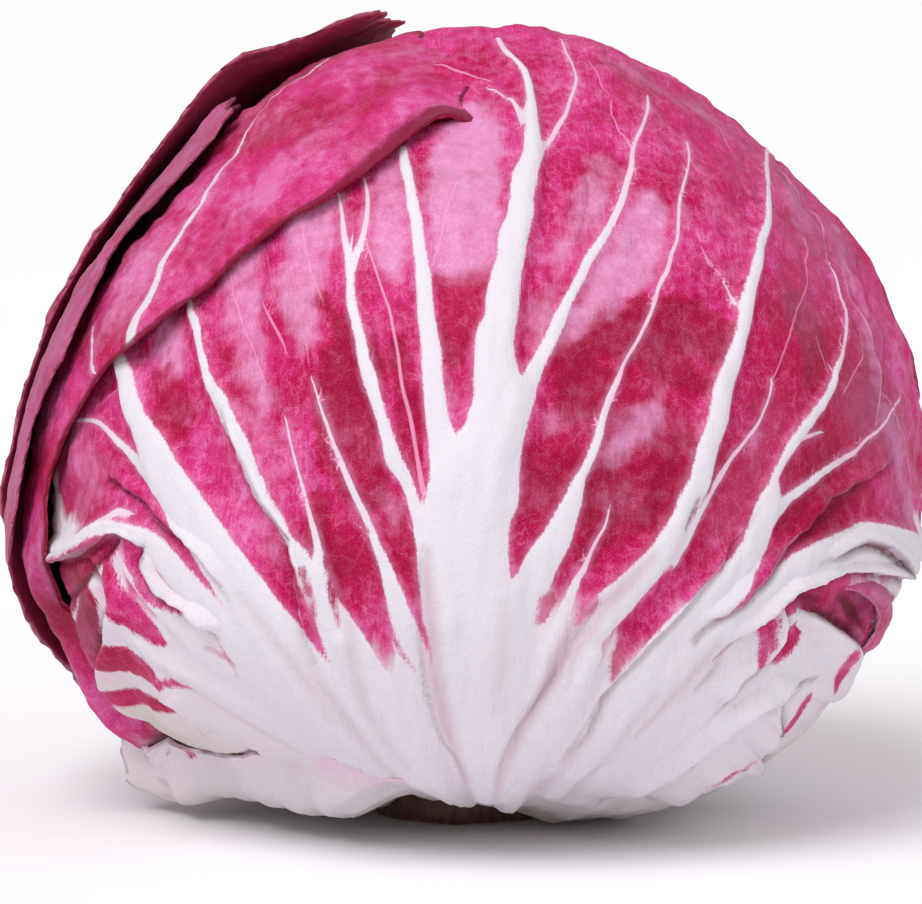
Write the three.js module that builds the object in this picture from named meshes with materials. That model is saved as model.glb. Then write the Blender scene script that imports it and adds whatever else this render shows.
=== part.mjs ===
// Radicchio head: a cut stem, a fused heart and nine wrapping leaves.
// Millimetres, +Z up, the head stands on its cut stem.  +X right, -Y front.
import * as THREE from 'three';

// ---- driving dimensions -------------------------------------------------
const CENTRE_Z = 50.6;       // height of the point every leaf curves round
const STEM_ANGLE = 15;      // half angle of the stem seen from that point, deg
const STEM_TOP = 12.2;      // height of the stem, just under the heart
const BLADE = 1.0;          // thickness of a leaf blade
const GAP = 0.55;           // air kept between a leaf and the one under it
const BASE_EXTRA = 0.5;     // how much thicker a leaf is where it joins the stem
const QUILT = 0.35;         // how far a blade sinks between two ribs

// outline of the closed head: distance from the centre every 22.5 degrees,
// from straight down to straight up, on the four sides
const OUTLINE = {
  right: [49.0, 51.5, 57.6, 61.6, 59.2, 57.4, 54.6, 53.4, 54.0],
  left: [49.0, 52.5, 61.0, 63.0, 58.8, 56.4, 55.0, 54.5, 54.0],
  front: [49.0, 51.5, 57.0, 60.0, 59.2, 58.0, 56.5, 55.0, 54.0],
  back: [49.0, 51.5, 57.0, 60.0, 59.0, 57.8, 56.0, 54.5, 54.0],
};
// the same for the heart, which carries the outer leaves
const HEART = {
  right: [36.0, 43.5, 52.0, 56.6, 55.0, 53.0, 50.2, 49.8, 50.4],
  left: [36.0, 40.6, 52.4, 56.3, 51.2, 48.2, 47.0, 50.0, 50.4],
  front: [36.0, 42.5, 51.2, 55.2, 54.8, 54.0, 52.6, 51.0, 50.4],
  back: [36.0, 40.2, 48.8, 52.8, 52.2, 51.2, 50.2, 49.8, 50.4],
};

// the drawing the ribs and edges are laid out on: one unit in mm, where the
// head centre is on it, and the eye it is drawn for (distance, tilt)
const UNIT = 120 / 913;
const SHEET = [462, 430];
const EYE_DISTANCE = 700;
const EYE_TILT = 7;

// ---- small helpers ------------------------------------------------------
const DEG = Math.PI / 180;
const clamp = (v, a, b) => Math.min(b, Math.max(a, v));
const mix = (a, b, t) => a + (b - a) * t;
const ease = (a, b, v) => { const t = clamp((v - a) / (b - a), 0, 1); return t * t * (3 - 2 * t); };
const dot = (a, b) => a[0] * b[0] + a[1] * b[1] + a[2] * b[2];
const unit = (a) => { const l = Math.hypot(...a); return [a[0] / l, a[1] / l, a[2] / l]; };

function curve(list, x) {
  const i = clamp(Math.floor(x), 0, list.length - 2), f = x - i;
  const p1 = list[i], p2 = list[i + 1];
  const p0 = i > 0 ? list[i - 1] : 2 * p1 - p2;
  const p3 = i + 2 < list.length ? list[i + 2] : 2 * p2 - p1;
  return 0.5 * (2 * p1 + (p2 - p0) * f + (2 * p0 - 5 * p1 + 4 * p2 - p3) * f * f
    + (3 * p1 - p0 - 3 * p2 + p3) * f * f * f);
}
// straight-line table [[key, value], ...], keys rising
function table(rows, k) {
  if (k <= rows[0][0]) return rows[0][1];
  for (let i = 1; i < rows.length; i++) {
    if (k <= rows[i][0]) {
      const t = (k - rows[i - 1][0]) / (rows[i][0] - rows[i - 1][0]);
      return mix(rows[i - 1][1], rows[i][1], t);
    }
  }
  return rows[rows.length - 1][1];
}
function radius(shape, d) {
  const e = (Math.asin(clamp(d[2], -1, 1)) / DEG + 90) / 22.5;
  const h = d[0] * d[0] + d[1] * d[1];
  if (h < 1e-8) return curve(shape.front, e);
  const rx = curve(d[0] > 0 ? shape.right : shape.left, e);
  const ry = curve(d[1] < 0 ? shape.front : shape.back, e);
  return (d[0] * d[0] * rx + d[1] * d[1] * ry) / h;
}
// leaf angles: a runs from the stem up the leaf's own middle, b to its side
function leafDir(theta, a, b) {
  const t = theta * DEG, A = a * DEG, B = b * DEG, c = Math.cos(B);
  return [
    c * Math.sin(A) * Math.cos(t) - Math.sin(B) * Math.sin(t),
    c * Math.sin(A) * Math.sin(t) + Math.sin(B) * Math.cos(t),
    -c * Math.cos(A)];
}
function leafAngles(theta, d) {
  const t = theta * DEG;
  const b = Math.asin(clamp(-d[0] * Math.sin(t) + d[1] * Math.cos(t), -1, 1)) / DEG;
  const out = d[0] * Math.cos(t) + d[1] * Math.sin(t);
  let a = Math.atan2(out, -d[2]) / DEG;
  if (a < -60) a += 360;
  return [a, b];
}
// a point of the drawing laid back onto the closed head
function fromSheet(p) {
  const s = Math.sin(EYE_TILT * DEG), c = Math.cos(EYE_TILT * DEG);
  const back = [0, -c, s], up = [0, s, c];
  const eye = [0, -c * EYE_DISTANCE, s * EYE_DISTANCE];
  const x = (p[0] - SHEET[0]) * UNIT, z = (SHEET[1] - p[1]) * UNIT;
  const ray = unit([x - back[0] * EYE_DISTANCE, up[1] * z - back[1] * EYE_DISTANCE,
    up[2] * z - back[2] * EYE_DISTANCE]);
  let best = null, bestMiss = 1e9;
  for (let k = 0; k <= 260; k++) {
    const t = EYE_DISTANCE - 70 + k * 0.5;
    const q = [eye[0] + ray[0] * t, eye[1] + ray[1] * t, eye[2] + ray[2] * t];
    const l = Math.hypot(...q), miss = l - radius(OUTLINE, unit(q));
    if (miss < bestMiss) { bestMiss = miss; best = q; }
    if (miss <= 0) break;
  }
  return unit(best);
}

// ---- the height of what is already laid down, every 2 degrees -----------
const NA = 180, NE = 91;
const cell = (ia, ie) => ie * NA + ((ia % NA) + NA) % NA;
const cellOf = (d) => {
  const az = Math.atan2(d[1], d[0]) / DEG, el = Math.asin(clamp(d[2], -1, 1)) / DEG;
  return [(az + 360) / 2, (el + 90) / 2];
};
function look(map, d) {
  const [a, e] = cellOf(d), ia = Math.floor(a), ie = Math.min(Math.floor(e), NE - 2);
  const fa = a - ia, fe = e - ie;
  return mix(mix(map[cell(ia, ie)], map[cell(ia + 1, ie)], fa),
    mix(map[cell(ia, ie + 1)], map[cell(ia + 1, ie + 1)], fa), fe);
}
function around(map, reach, pick) {
  const out = new Float64Array(NA * NE);
  const rows = Math.ceil(reach / 2);
  for (let ie = 0; ie < NE; ie++) {
    for (let ia = 0; ia < NA; ia++) {
      let acc = pick === 'max' ? -1e9 : 0, w = 0;
      for (let je = Math.max(0, ie - rows); je <= Math.min(NE - 1, ie + rows); je++) {
        const dy = (je - ie) * 2;
        const cosE = Math.max(Math.cos((Math.max(Math.abs(je - 45), Math.abs(ie - 45)) * 2) * DEG), 0.012);
        const half = Math.min(89, Math.floor(Math.sqrt(Math.max(reach * reach - dy * dy, 0)) / 2 / cosE));
        const skip = half > 12 ? Math.ceil(half / 12) : 1;
        for (let ja = ia - half; ja <= ia + half; ja += skip) {
          const v = map[cell(ja, je)];
          if (pick === 'max') { if (v > acc) acc = v; } else {
            const dx = (ja - ia) * 2 * cosE;
            const g = Math.exp(-2 * (dx * dx + dy * dy) / (reach * reach)) * skip;
            acc += v * g; w += g;
          }
        }
      }
      out[cell(ia, ie)] = pick === 'max' ? acc : acc / w;
    }
  }
  return out;
}
const laid = new Float64Array(NA * NE);
// the face a new leaf lies on: never below what is there, steps bridged
function bed(reach) {
  const high = around(laid, reach, 'max');
  let soft = high;
  for (let k = 0; k < 3; k++) {
    const s = around(soft, reach * 1.6, 'mean');
    soft = s.map((v, i) => Math.max(v, high[i]));
  }
  return soft;
}

// ---- one leaf -----------------------------------------------------------
// edge and rib tables are [a, b] pairs in leaf angles unless sheet is set
function pathTable(theta, pts) {
  const rows = pts.map((p) => leafAngles(theta, fromSheet(p))).sort((p, q) => p[0] - q[0]);
  const out = [];
  for (const r of rows) if (!out.length || r[0] > out[out.length - 1][0] + 1) out.push(r);
  return out;
}
function buildLeaf(spec) {
  const { theta, rows, reach = 5 } = spec;
  const soft = bed(reach);
  const edge = (e) => (e.sheet ? [...e.rows, ...pathTable(theta, e.sheet)]
    .sort((p, q) => p[0] - q[0]) : e);
  const left = edge(spec.left), right = edge(spec.right);
  const ribs = spec.ribs.map((r) => ({
    path: r.sheet ? pathTable(theta, r.sheet) : r.path,
    high: r.high, wide: r.wide, from: r.from ?? 0, to: r.to ?? 400,
  }));
  const wave = (a, side) => (spec.wave ?? 1.2) * (Math.sin(a * 0.21 + side * 2.1 + theta)
    + 0.6 * Math.sin(a * 0.47 + side + theta * 0.3));
  // where every rib runs at angle a, kept apart
  const anchors = (a) => {
    const lo = table(left, a) + wave(a, 0), hi = table(right, a) + wave(a, 1);
    const n = ribs.length, gather = 1 - ease(spec.a0, spec.a0 + 26, a);
    const b = ribs.map((r, k) => {
      const even = mix(lo, hi, (k + 1) / (n + 1));
      return mix(clamp(table(r.path, a), lo + 3, hi - 3), even, gather);
    });
    const least = (hi - lo) / (n + 1) * 0.3;
    for (let k = 0; k < n; k++) b[k] = Math.max(b[k], (k ? b[k - 1] : lo) + least);
    for (let k = n - 1; k >= 0; k--) b[k] = Math.min(b[k], (k < n - 1 ? b[k + 1] : hi) - least);
    return { lo, hi, b };
  };
  let gapCols = null;
  const columns = (a) => {
    const { lo, hi, b } = anchors(a);
    const all = [lo, ...b, hi], out = [];
    const reachOf = (k) => {
      const w = ribs[k - 1].wide * 0.5 * 57.3 / 57;
      return Math.min(w, 0.36 * (all[k] - all[k - 1]), 0.36 * (all[k + 1] - all[k]));
    };
    out.push({ b: lo, rib: -1, part: 0 });
    for (let k = 1; k < all.length; k++) {
      const from = k > 1 ? all[k - 1] + reachOf(k - 1) : lo;
      const to = k < all.length - 1 ? all[k] - reachOf(k) : hi;
      const n = gapCols ? gapCols[k - 1] : 1;
      for (let i = 1; i <= n; i++) out.push({ b: mix(from, to, i / (n + 1)), rib: -1, part: Math.sin(Math.PI * i / (n + 1)) });
      if (k < all.length - 1) {
        out.push({ b: to, rib: -1, part: 0 });
        out.push({ b: all[k], rib: k - 1, part: 0 });
        out.push({ b: all[k] + reachOf(k), rib: -1, part: 0 });
      } else out.push({ b: hi, rib: -1, part: 0 });
    }
    return out;
  };
  // enough columns in every gap that none is wider than spec.span degrees
  const widest = ribs.concat([0]).map(() => 0);
  for (let a = spec.a0; a <= 170; a += 6) {
    const { lo, hi, b } = anchors(a), all = [lo, ...b, hi];
    for (let k = 1; k < all.length; k++) widest[k - 1] = Math.max(widest[k - 1], all[k] - all[k - 1]);
  }
  gapCols = widest.map((w) => Math.max(1, Math.ceil((w - 5) / (spec.span ?? 9)) - 1));
  const nc = columns(90).length;
  // the tip edge is a table of [b, a]; follow a column up until it meets it
  const tip = (j) => {
    let a = 150;
    for (let k = 0; k < 12; k++) a = mix(a, table(spec.tip, columns(a)[j].b), 0.6);
    return a;
  };
  const base = (t) => spec.a0 + (spec.baseDrop ?? 3) * Math.pow(Math.abs(2 * t - 1), 2);
  const tips = [];
  for (let j = 0; j < nc; j++) {
    tips.push(tip(j) + (spec.tipWave ?? 1.0) * Math.sin(j / (nc - 1) * 23 + theta));
  }
  const grid = [];
  for (let i = 0; i <= rows; i++) {
    const s = i / rows, line = [];
    for (let j = 0; j < nc; j++) {
      const t = j / (nc - 1);
      const a = mix(base(t), tips[j], s);
      const c = columns(a)[j];
      const d = leafDir(theta, a, c.b);
      const f = spec.flare ?? {};
      const lift = Math.max(
        table(f.left ?? [[0, 0]], a) * Math.pow(clamp(1 - t / (f.leftWide ?? 0.2), 0, 1), 2),
        table(f.right ?? [[0, 0]], a) * Math.pow(clamp(1 - (1 - t) / (f.rightWide ?? 0.2), 0, 1), 2),
        (f.tip ?? 0) * Math.pow(clamp(1 - (1 - s) / (f.tipWide ?? 0.2), 0, 1), 2));
      const inner = look(soft, d) + (spec.gap ?? GAP) + lift;
      const slim = 1 - (spec.slim ?? 0) * ease(12, 40, Math.abs(c.b));
      let thick = BLADE + (spec.foot ?? BASE_EXTRA) * (1 - ease(spec.a0, spec.a0 + 34, a)) * slim;
      if (c.rib >= 0) {
        const r = ribs[c.rib];
        thick += r.high * (1 - 0.8 * ease(60, 165, a)) * ease(r.from, r.from + 12, a)
          * (1 - ease(r.to - 14, r.to, a));
      }
      const swell = -QUILT * c.part * ease(45, 80, a);
      line.push({ d, inner: inner + Math.max(0, swell), outer: inner + thick + Math.min(0, swell) });
    }
    grid.push(line);
  }
  // lay it down
  for (let i = 0; i < rows; i++) {
    for (let j = 0; j + 1 < nc; j++) {
      const q = [grid[i][j], grid[i][j + 1], grid[i + 1][j], grid[i + 1][j + 1]];
      for (let u = 0; u <= 4; u++) {
        for (let v = 0; v <= 4; v++) {
          const w = [(1 - u / 4) * (1 - v / 4), (u / 4) * (1 - v / 4), (1 - u / 4) * (v / 4), (u / 4) * (v / 4)];
          const d = unit([0, 1, 2].map((k) => q.reduce((s, p, n) => s + p.d[k] * w[n], 0)));
          const h = q.reduce((s, p, n) => s + p.outer * w[n], 0);
          const [ca, ce] = cellOf(d), id = cell(Math.round(ca), Math.round(ce));
          if (h > laid[id]) laid[id] = h;
        }
      }
    }
  }
  return grid;
}
function place(d, h) {
  const r = radius(HEART, d) + h;
  return [d[0] * r, d[1] * r, CENTRE_Z + d[2] * r];
}
function shellMesh(grid, name, material) {
  const nr = grid.length, nc = grid[0].length, pos = [], idx = [];
  for (const face of ['outer', 'inner']) for (const line of grid) for (const p of line) pos.push(...place(p.d, p[face]));
  const O = (i, j) => i * nc + j, I = (i, j) => nr * nc + i * nc + j;
  const quad = (a, b, c, d) => idx.push(a, b, c, a, c, d);
  for (let i = 0; i + 1 < nr; i++) {
    for (let j = 0; j + 1 < nc; j++) {
      if ((i + j) % 2) {
        quad(O(i, j), O(i, j + 1), O(i + 1, j + 1), O(i + 1, j));
        idx.push(I(i, j), I(i + 1, j + 1), I(i, j + 1), I(i, j), I(i + 1, j), I(i + 1, j + 1));
      } else {
        idx.push(O(i, j), O(i, j + 1), O(i + 1, j), O(i, j + 1), O(i + 1, j + 1), O(i + 1, j));
        idx.push(I(i, j), I(i + 1, j), I(i, j + 1), I(i, j + 1), I(i + 1, j), I(i + 1, j + 1));
      }
    }
  }
  for (let j = 0; j + 1 < nc; j++) {
    quad(O(0, j + 1), O(0, j), I(0, j), I(0, j + 1));
    quad(O(nr - 1, j), O(nr - 1, j + 1), I(nr - 1, j + 1), I(nr - 1, j));
  }
  for (let i = 0; i + 1 < nr; i++) {
    quad(O(i, 0), O(i + 1, 0), I(i + 1, 0), I(i, 0));
    quad(O(i + 1, nc - 1), O(i, nc - 1), I(i, nc - 1), I(i + 1, nc - 1));
  }
  return mesh(name, pos, idx, material);
}
function mesh(name, pos, idx, material) {
  const g = new THREE.BufferGeometry();
  g.setAttribute('position', new THREE.Float32BufferAttribute(pos, 3));
  g.setIndex(idx);
  g.computeVertexNormals();
  const m = new THREE.Mesh(g, material);
  m.name = name;
  return m;
}
const paint = (name, color, roughness) => {
  const m = new THREE.MeshStandardMaterial({ color, roughness, metalness: 0 });
  m.name = name;
  return m;
};

// ---- the heart: core and inner leaves in one, overlap steps on it --------
function heartMesh() {
  const n = 40, rows = 20, pos = [], idx = [];
  const at = (az, el) => {
    const d = leafDir(az, el + 90, 0);
    let h = 0;
    if (el < 88 && el > -60) {
      for (let k = 0; k < 3; k++) {
        const turn = ((az - k * 120 - el * 0.8 + 720) % 360) / 360;
        h = Math.max(h, 1.3 * ease(0, 0.06, turn) * (1 - turn) * ease(-60, -20, el));
      }
    }
    const r = radius(HEART, d) - 1.6 - 1.2 * (1 - ease(-60, -20, el)) + h;
    return [d[0] * r, d[1] * r, CENTRE_Z + d[2] * r];
  };
  pos.push(...at(0, -90));
  for (let i = 1; i < rows; i++) for (let j = 0; j < n; j++) pos.push(...at(j * 360 / n, -90 + i * 180 / rows));
  pos.push(...at(0, 90));
  const V = (i, j) => 1 + (i - 1) * n + (j % n), top = 1 + (rows - 1) * n;
  for (let j = 0; j < n; j++) {
    idx.push(0, V(1, j + 1), V(1, j));
    idx.push(top, V(rows - 1, j), V(rows - 1, j + 1));
    for (let i = 1; i + 1 < rows; i++) {
      idx.push(V(i, j), V(i, j + 1), V(i + 1, j + 1), V(i, j), V(i + 1, j + 1), V(i + 1, j));
    }
  }
  return mesh('heart', pos, idx, paint('heart_leaf', 0xa02055, 0.5));
}
// ---- the stem: a plug that widens to its cut face -------------------------
function stemMesh() {
  const n = 32, pos = [], idx = [];
  const rings = [[0, 0.94], [1.6, 1.0], [6, 0.97], [11, 0.95], [STEM_TOP, 0.9]];
  for (const [z, k] of rings) {
    for (let j = 0; j < n; j++) {
      const r = (CENTRE_Z - z) * Math.tan(STEM_ANGLE * DEG) * k;
      const lump = 1 + 0.03 * Math.sin(j * 2 * Math.PI / n * 5) * (z > 0 ? 1 : 0.6);
      pos.push(r * lump * Math.cos(j * 2 * Math.PI / n), r * lump * Math.sin(j * 2 * Math.PI / n), z);
    }
  }
  const m = rings.length, bottom = m * n, top = m * n + 1;
  pos.push(0, 0, rings[0][0], 0, 0, rings[m - 1][0]);
  for (let j = 0; j < n; j++) {
    const k = (j + 1) % n;
    idx.push(bottom, k, j, top, (m - 1) * n + j, (m - 1) * n + k);
    for (let i = 0; i + 1 < m; i++) {
      idx.push(i * n + j, i * n + k, (i + 1) * n + k, i * n + j, (i + 1) * n + k, (i + 1) * n + j);
    }
  }
  return mesh('stem', pos, idx, paint('stem', 0xe6ddd6, 0.75));
}

// ---- the leaves, from the inside out ----------------------------------------
const plainRibs = (list) => list.map(([b, high, wide, to]) => ({
  path: [[20, b * 0.15], [60, b * 0.55], [100, b * 0.9], [150, b]], high, wide, to,
}));
const back = {
  name: 'leaf_back', theta: 97, a0: 18, rows: 15, span: 11,
  left: [[18, -24], [50, -52], [90, -74], [130, -66], [170, -50]],
  right: [[18, 24], [50, 52], [90, 74], [130, 66], [170, 50]],
  tip: [[-60, 150], [-40, 172], [-20, 183], [0, 187], [20, 186], [45, 172], [60, 150]],
  ribs: plainRibs([[-46, 0.8, 4, 150], [-22, 1.0, 5, 158], [0, 1.8, 9, 172], [24, 1.0, 5, 158], [48, 0.8, 4, 150]]),
};
const rightLeaf = {
  name: 'leaf_right', theta: 18, a0: 18, rows: 15, span: 10,
  left: [[18, -26], [50, -46], [90, -56], [130, -52], [165, -36]],
  right: [[18, 26], [50, 52], [90, 70], [130, 60], [165, 40]],
  tip: [[-50, 148], [-25, 164], [0, 170], [30, 166], [60, 146]],
  ribs: plainRibs([[-40, 0.8, 4, 140], [-20, 1.0, 5, 152], [0, 2.0, 9, 162], [22, 1.0, 5, 152], [44, 0.8, 4, 140]]),
};
const baseRight = {
  name: 'leaf_base_right', theta: 318, a0: 18, rows: 7, span: 12, wave: 1.6, baseDrop: 1,
  left: [[18, -20], [40, -30], [60, -24]],
  right: [[18, 22], [40, 30], [60, 22]],
  tip: [[-28, 40], [-10, 50], [5, 56], [18, 52], [28, 42]],
  ribs: plainRibs([[-12, 0.6, 5, 70], [6, 1.0, 7, 70]]),
};
const front = {
  name: 'leaf_front', theta: 276, a0: 18, rows: 24, wave: 0.7, baseDrop: -9, foot: 1.6, slim: 0.75,
  reach: 10, gap: 1.0,
  left: [[6, -40], [18, -46], [30, -58], [40, -68], [60, -80], [90, -84], [120, -80], [150, -60],
    [170, -34]],
  right: [[6, 30], [18, 36], [28, 44], [37, 54], [46, 63], [53, 70], [62, 77], [75, 83], [90, 84],
    [120, 82], [150, 66], [170, 44]],
  tip: [[-60, 140], [-34, 160], [-15, 168], [0, 170], [30, 170], [50, 162], [66, 148]],
  ribs: [
    { sheet: [[36, 395], [50, 465], [85, 505], [160, 560], [200, 610], [260, 680], [340, 745]], high: 1.8, wide: 6, to: 92 },
    { sheet: [[62, 424], [108, 432], [140, 462], [180, 525], [240, 610], [320, 700]], high: 0.8, wide: 4, to: 108 },
    { sheet: [[122, 355], [145, 420], [175, 480], [230, 570], [285, 645], [360, 730]], high: 1.8, wide: 7, to: 122 },
    { sheet: [[189, 300], [222, 400], [258, 480], [300, 560], [350, 650], [410, 740]], high: 1.2, wide: 5, to: 132 },
    { sheet: [[338, 192], [356, 320], [383, 420], [407, 480], [430, 560], [450, 680]], high: 1.2, wide: 5, to: 150 },
    { sheet: [[403, 148], [425, 300], [435, 400], [448, 480], [455, 600], [465, 720]], high: 1.4, wide: 5, to: 156 },
    { sheet: [[500, 45], [531, 120], [519, 220], [502, 300], [490, 400], [470, 560], [480, 760]],
      high: 2.8, wide: 9, to: 172 },
    { sheet: [[648, 100], [622, 200], [568, 300], [523, 400], [508, 500], [505, 640]], high: 1.2, wide: 4, to: 160 },
    { sheet: [[690, 150], [677, 240], [638, 340], [589, 460], [541, 560], [512, 680]], high: 1.1, wide: 5, to: 152 },
    { sheet: [[768, 140], [761, 240], [731, 360], [702, 460], [652, 560], [545, 680]], high: 1.8, wide: 6, to: 152 },
    { sheet: [[827, 250], [846, 340], [808, 420], [762, 520], [725, 580], [620, 690]], high: 1.5, wide: 6, to: 140 },
    { sheet: [[900, 400], [868, 440], [808, 484], [770, 548], [720, 612], [640, 690]], high: 1.0, wide: 4, to: 118 },
    { sheet: [[916, 400], [906, 470], [872, 530], [815, 575], [730, 635], [660, 710]], high: 2.2, wide: 7, to: 94 },
  ],
};
const leftLeaf = {
  name: 'leaf_left', theta: 180, a0: 18, rows: 19, span: 9, wave: 0.4,
  left: [[18, -24], [50, -46], [80, -50], [100, -44], [115, -34], [128, -18], [140, 2], [149, 15],
    [157, 17], [168, 10], [175, 6]],
  right: { rows: [[18, 0], [36, 4], [46, 9], [54, 16], [62, 21], [70, 25]], sheet: [[480, 107], [450, 113], [412, 137], [362, 170],
    [300, 208], [245, 241], [185, 290], [127, 345], [75, 392], [50, 437], [36, 480], [40, 530], [45, 600]] },
  tip: [[0, 168], [10, 172], [18, 177], [28, 180], [37, 182], [40, 181]],
  flare: { right: [[0, 0.4]], rightWide: 0.06 },
  ribs: [...plainRibs([[-36, 1.4, 7, 120], [-12, 0.8, 5, 130]]),
    { path: [[20, 3], [60, 14], [88, 9], [97, 14], [105, 24], [112, 28], [125, 30], [150, 29], [170, 26]],
      high: 0.8, wide: 4, to: 150 }],
};
const leftOuter = {
  name: 'leaf_left_outer', theta: 172, a0: 18, rows: 15, span: 10, wave: 0.6,
  left: [[18, -24], [50, -46], [90, -54], [130, -44], [150, -30]],
  right: { rows: [[18, 0], [45, 0], [58, 4], [67, 13]], sheet: [[250, 96], [202, 141], [147, 197], [108, 250], [90, 300],
    [65, 350], [45, 390], [30, 430], [26, 480], [18, 530]] },
  tip: [[-50, 124], [-25, 138], [0, 144], [20, 148], [30, 150]],
  flare: { right: [[30, 0], [60, 0.6], [90, 0.7], [120, 0.8], [150, 0.8]], rightWide: 0.2, tip: 0.5, tipWide: 0.12 },
  ribs: plainRibs([[-36, 0.8, 4, 128], [-16, 1.6, 8, 140], [4, 0.9, 5, 146]]),
};
const backRight = {
  name: 'leaf_back_right', theta: 60, a0: 18, rows: 13, span: 10, wave: 1.3,
  left: [[18, -24], [50, -46], [90, -50], [120, -44], [150, -28]],
  right: [[18, 24], [50, 48], [90, 56], [120, 50], [150, 30]],
  tip: [[-44, 118], [-25, 138], [0, 150], [25, 140], [48, 120]],
  flare: { tip: 1.2, tipWide: 0.2, left: [[30, 0], [60, 0.5]], leftWide: 0.12 },
  ribs: plainRibs([[-34, 0.8, 4, 125], [-16, 1.0, 5, 138], [0, 2.0, 9, 148], [18, 1.0, 5, 138], [36, 0.8, 4, 125]]),
};
const leftBack = {
  name: 'leaf_left_back', theta: 146, a0: 18, rows: 17, span: 10, wave: 0.9,
  left: [[18, -24], [50, -46], [90, -52], [130, -42], [160, -26]],
  right: [[18, -2], [48, 0], [60, 6], [70, 24], [80, 34], [92, 34], [122, 29], [144, 22], [162, 14],
    [175, 8]],
  tip: [[-48, 126], [-30, 146], [-14, 159], [-4, 166], [3, 169], [8, 168], [12, 163], [16, 155]],
  flare: { right: [[30, 0.2], [60, 1.0], [90, 0.5], [115, 0.5], [135, 1.2], [160, 2.8], [175, 2.6]],
    rightWide: 0.22, tip: 2.2, tipWide: 0.16 },
  ribs: plainRibs([[-34, 0.8, 4, 134], [-16, 1.0, 5, 150], [-2, 2.0, 9, 160], [13, 0.8, 5, 150]]),
};
const baseLeft = {
  name: 'leaf_base_left', theta: 229, a0: 18, rows: 6, span: 12, wave: 1.4, baseDrop: 1,
  left: [[18, -22], [40, -30], [60, -24]],
  right: [[18, 18], [40, 26], [60, 20]],
  tip: [[-28, 40], [-12, 46], [8, 48], [24, 40]],
  ribs: plainRibs([[-18, 0.6, 6, 60], [0, 1.0, 8, 60], [14, 0.6, 6, 60]]),
};

const head = new THREE.Group();
head.name = 'radicchio_head';
head.add(stemMesh());
head.add(heartMesh());
const leafColour = {
  leaf_back: 0x9c2a58, leaf_right: 0xa3305f, leaf_front: 0xb02a60, leaf_left: 0xa62a5c,
  leaf_back_right: 0x97305c, leaf_left_outer: 0x93325f, leaf_left_back: 0x7e1c45,
  leaf_base_left: 0xd9c9cc, leaf_base_right: 0xd6c4c4,
};
const order = [back, rightLeaf, baseRight, front, leftLeaf, leftOuter, backRight, leftBack, baseLeft];
for (const spec of order) {
  head.add(shellMesh(buildLeaf(spec), spec.name, paint(spec.name, leafColour[spec.name], 0.45)));
}
// stand it on the resting plane, centred
const box = new THREE.Box3().setFromObject(head);
const shift = [-(box.min.x + box.max.x) / 2, -(box.min.y + box.max.y) / 2, 0];
for (const m of head.children) m.geometry.translate(...shift);

export default head;
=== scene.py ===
import math
from collections import namedtuple

import bpy
import numpy as np
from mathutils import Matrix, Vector
from mathutils.bvhtree import BVHTree


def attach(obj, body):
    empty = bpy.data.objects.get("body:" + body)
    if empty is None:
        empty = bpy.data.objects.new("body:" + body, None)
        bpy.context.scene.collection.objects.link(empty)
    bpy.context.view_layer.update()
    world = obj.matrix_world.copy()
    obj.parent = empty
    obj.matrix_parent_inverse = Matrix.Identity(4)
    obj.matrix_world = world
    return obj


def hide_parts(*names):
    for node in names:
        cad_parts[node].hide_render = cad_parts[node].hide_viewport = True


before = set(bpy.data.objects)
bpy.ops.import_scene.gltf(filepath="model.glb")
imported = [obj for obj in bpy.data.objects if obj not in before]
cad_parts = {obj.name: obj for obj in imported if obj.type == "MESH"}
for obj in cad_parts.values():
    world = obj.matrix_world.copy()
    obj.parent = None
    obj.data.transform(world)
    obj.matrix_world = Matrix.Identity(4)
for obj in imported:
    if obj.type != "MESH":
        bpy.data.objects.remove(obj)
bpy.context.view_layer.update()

MM = 0.001
PER_METRE = 1000.0          # mm, for the materials

# ------------------------------------------------------------------ the view
HEAD_WIDTH = 120            # mm, and in the photograph
HEAD_PIXELS = 913
UNIT = HEAD_WIDTH / HEAD_PIXELS
PICTURE = (922, 904)        # the photograph's size
SHEET = (462, 430)          # the pixel of the head's centre
EYE_DISTANCE = 700.0
EYE_TILT = math.radians(7)
CENTRE = np.array([0.68, -0.30, 50.6])
BACK = np.array([0, -math.cos(EYE_TILT), math.sin(EYE_TILT)])
UP = np.array([0, math.sin(EYE_TILT), math.cos(EYE_TILT)])
DROP = (PICTURE[1] / 2 - SHEET[1]) * UNIT      # the picture's middle is lower
ASIDE = (PICTURE[0] / 2 - SHEET[0]) * UNIT
EYE = BACK * EYE_DISTANCE - UP * DROP + np.array([ASIDE, 0, 0])

# ---------------------------------------------------- the same form as the CAD
# radii from the bottom to the top, every FORM_STEP degrees of height
FORM_STEP = 22.5
OUTLINE = dict(
    right=[49.0, 51.5, 57.6, 61.6, 59.2, 57.4, 54.6, 53.4, 54.0],
    left=[49.0, 52.5, 61.0, 63.0, 58.8, 56.4, 55.0, 54.5, 54.0],
    front=[49.0, 51.5, 57.0, 60.0, 59.2, 58.0, 56.5, 55.0, 54.0],
    back=[49.0, 51.5, 57.0, 60.0, 59.0, 57.8, 56.0, 54.5, 54.0])
HEART = dict(
    right=[36.0, 43.5, 52.0, 56.6, 55.0, 53.0, 50.2, 49.8, 50.4],
    left=[36.0, 40.6, 52.4, 56.3, 51.2, 48.2, 47.0, 50.0, 50.4],
    front=[36.0, 42.5, 51.2, 55.2, 54.8, 54.0, 52.6, 51.0, 50.4],
    back=[36.0, 40.2, 48.8, 52.8, 52.2, 51.2, 50.2, 49.8, 50.4])
BLADE, GAP = 1.0, 0.55      # mm, a blade's thickness and the air under it
FOOT_REACH = 34             # degrees that the thicker foot runs up a leaf
LEAST = 0.45                # mm, the thinnest a leaf may get before its edge
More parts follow.
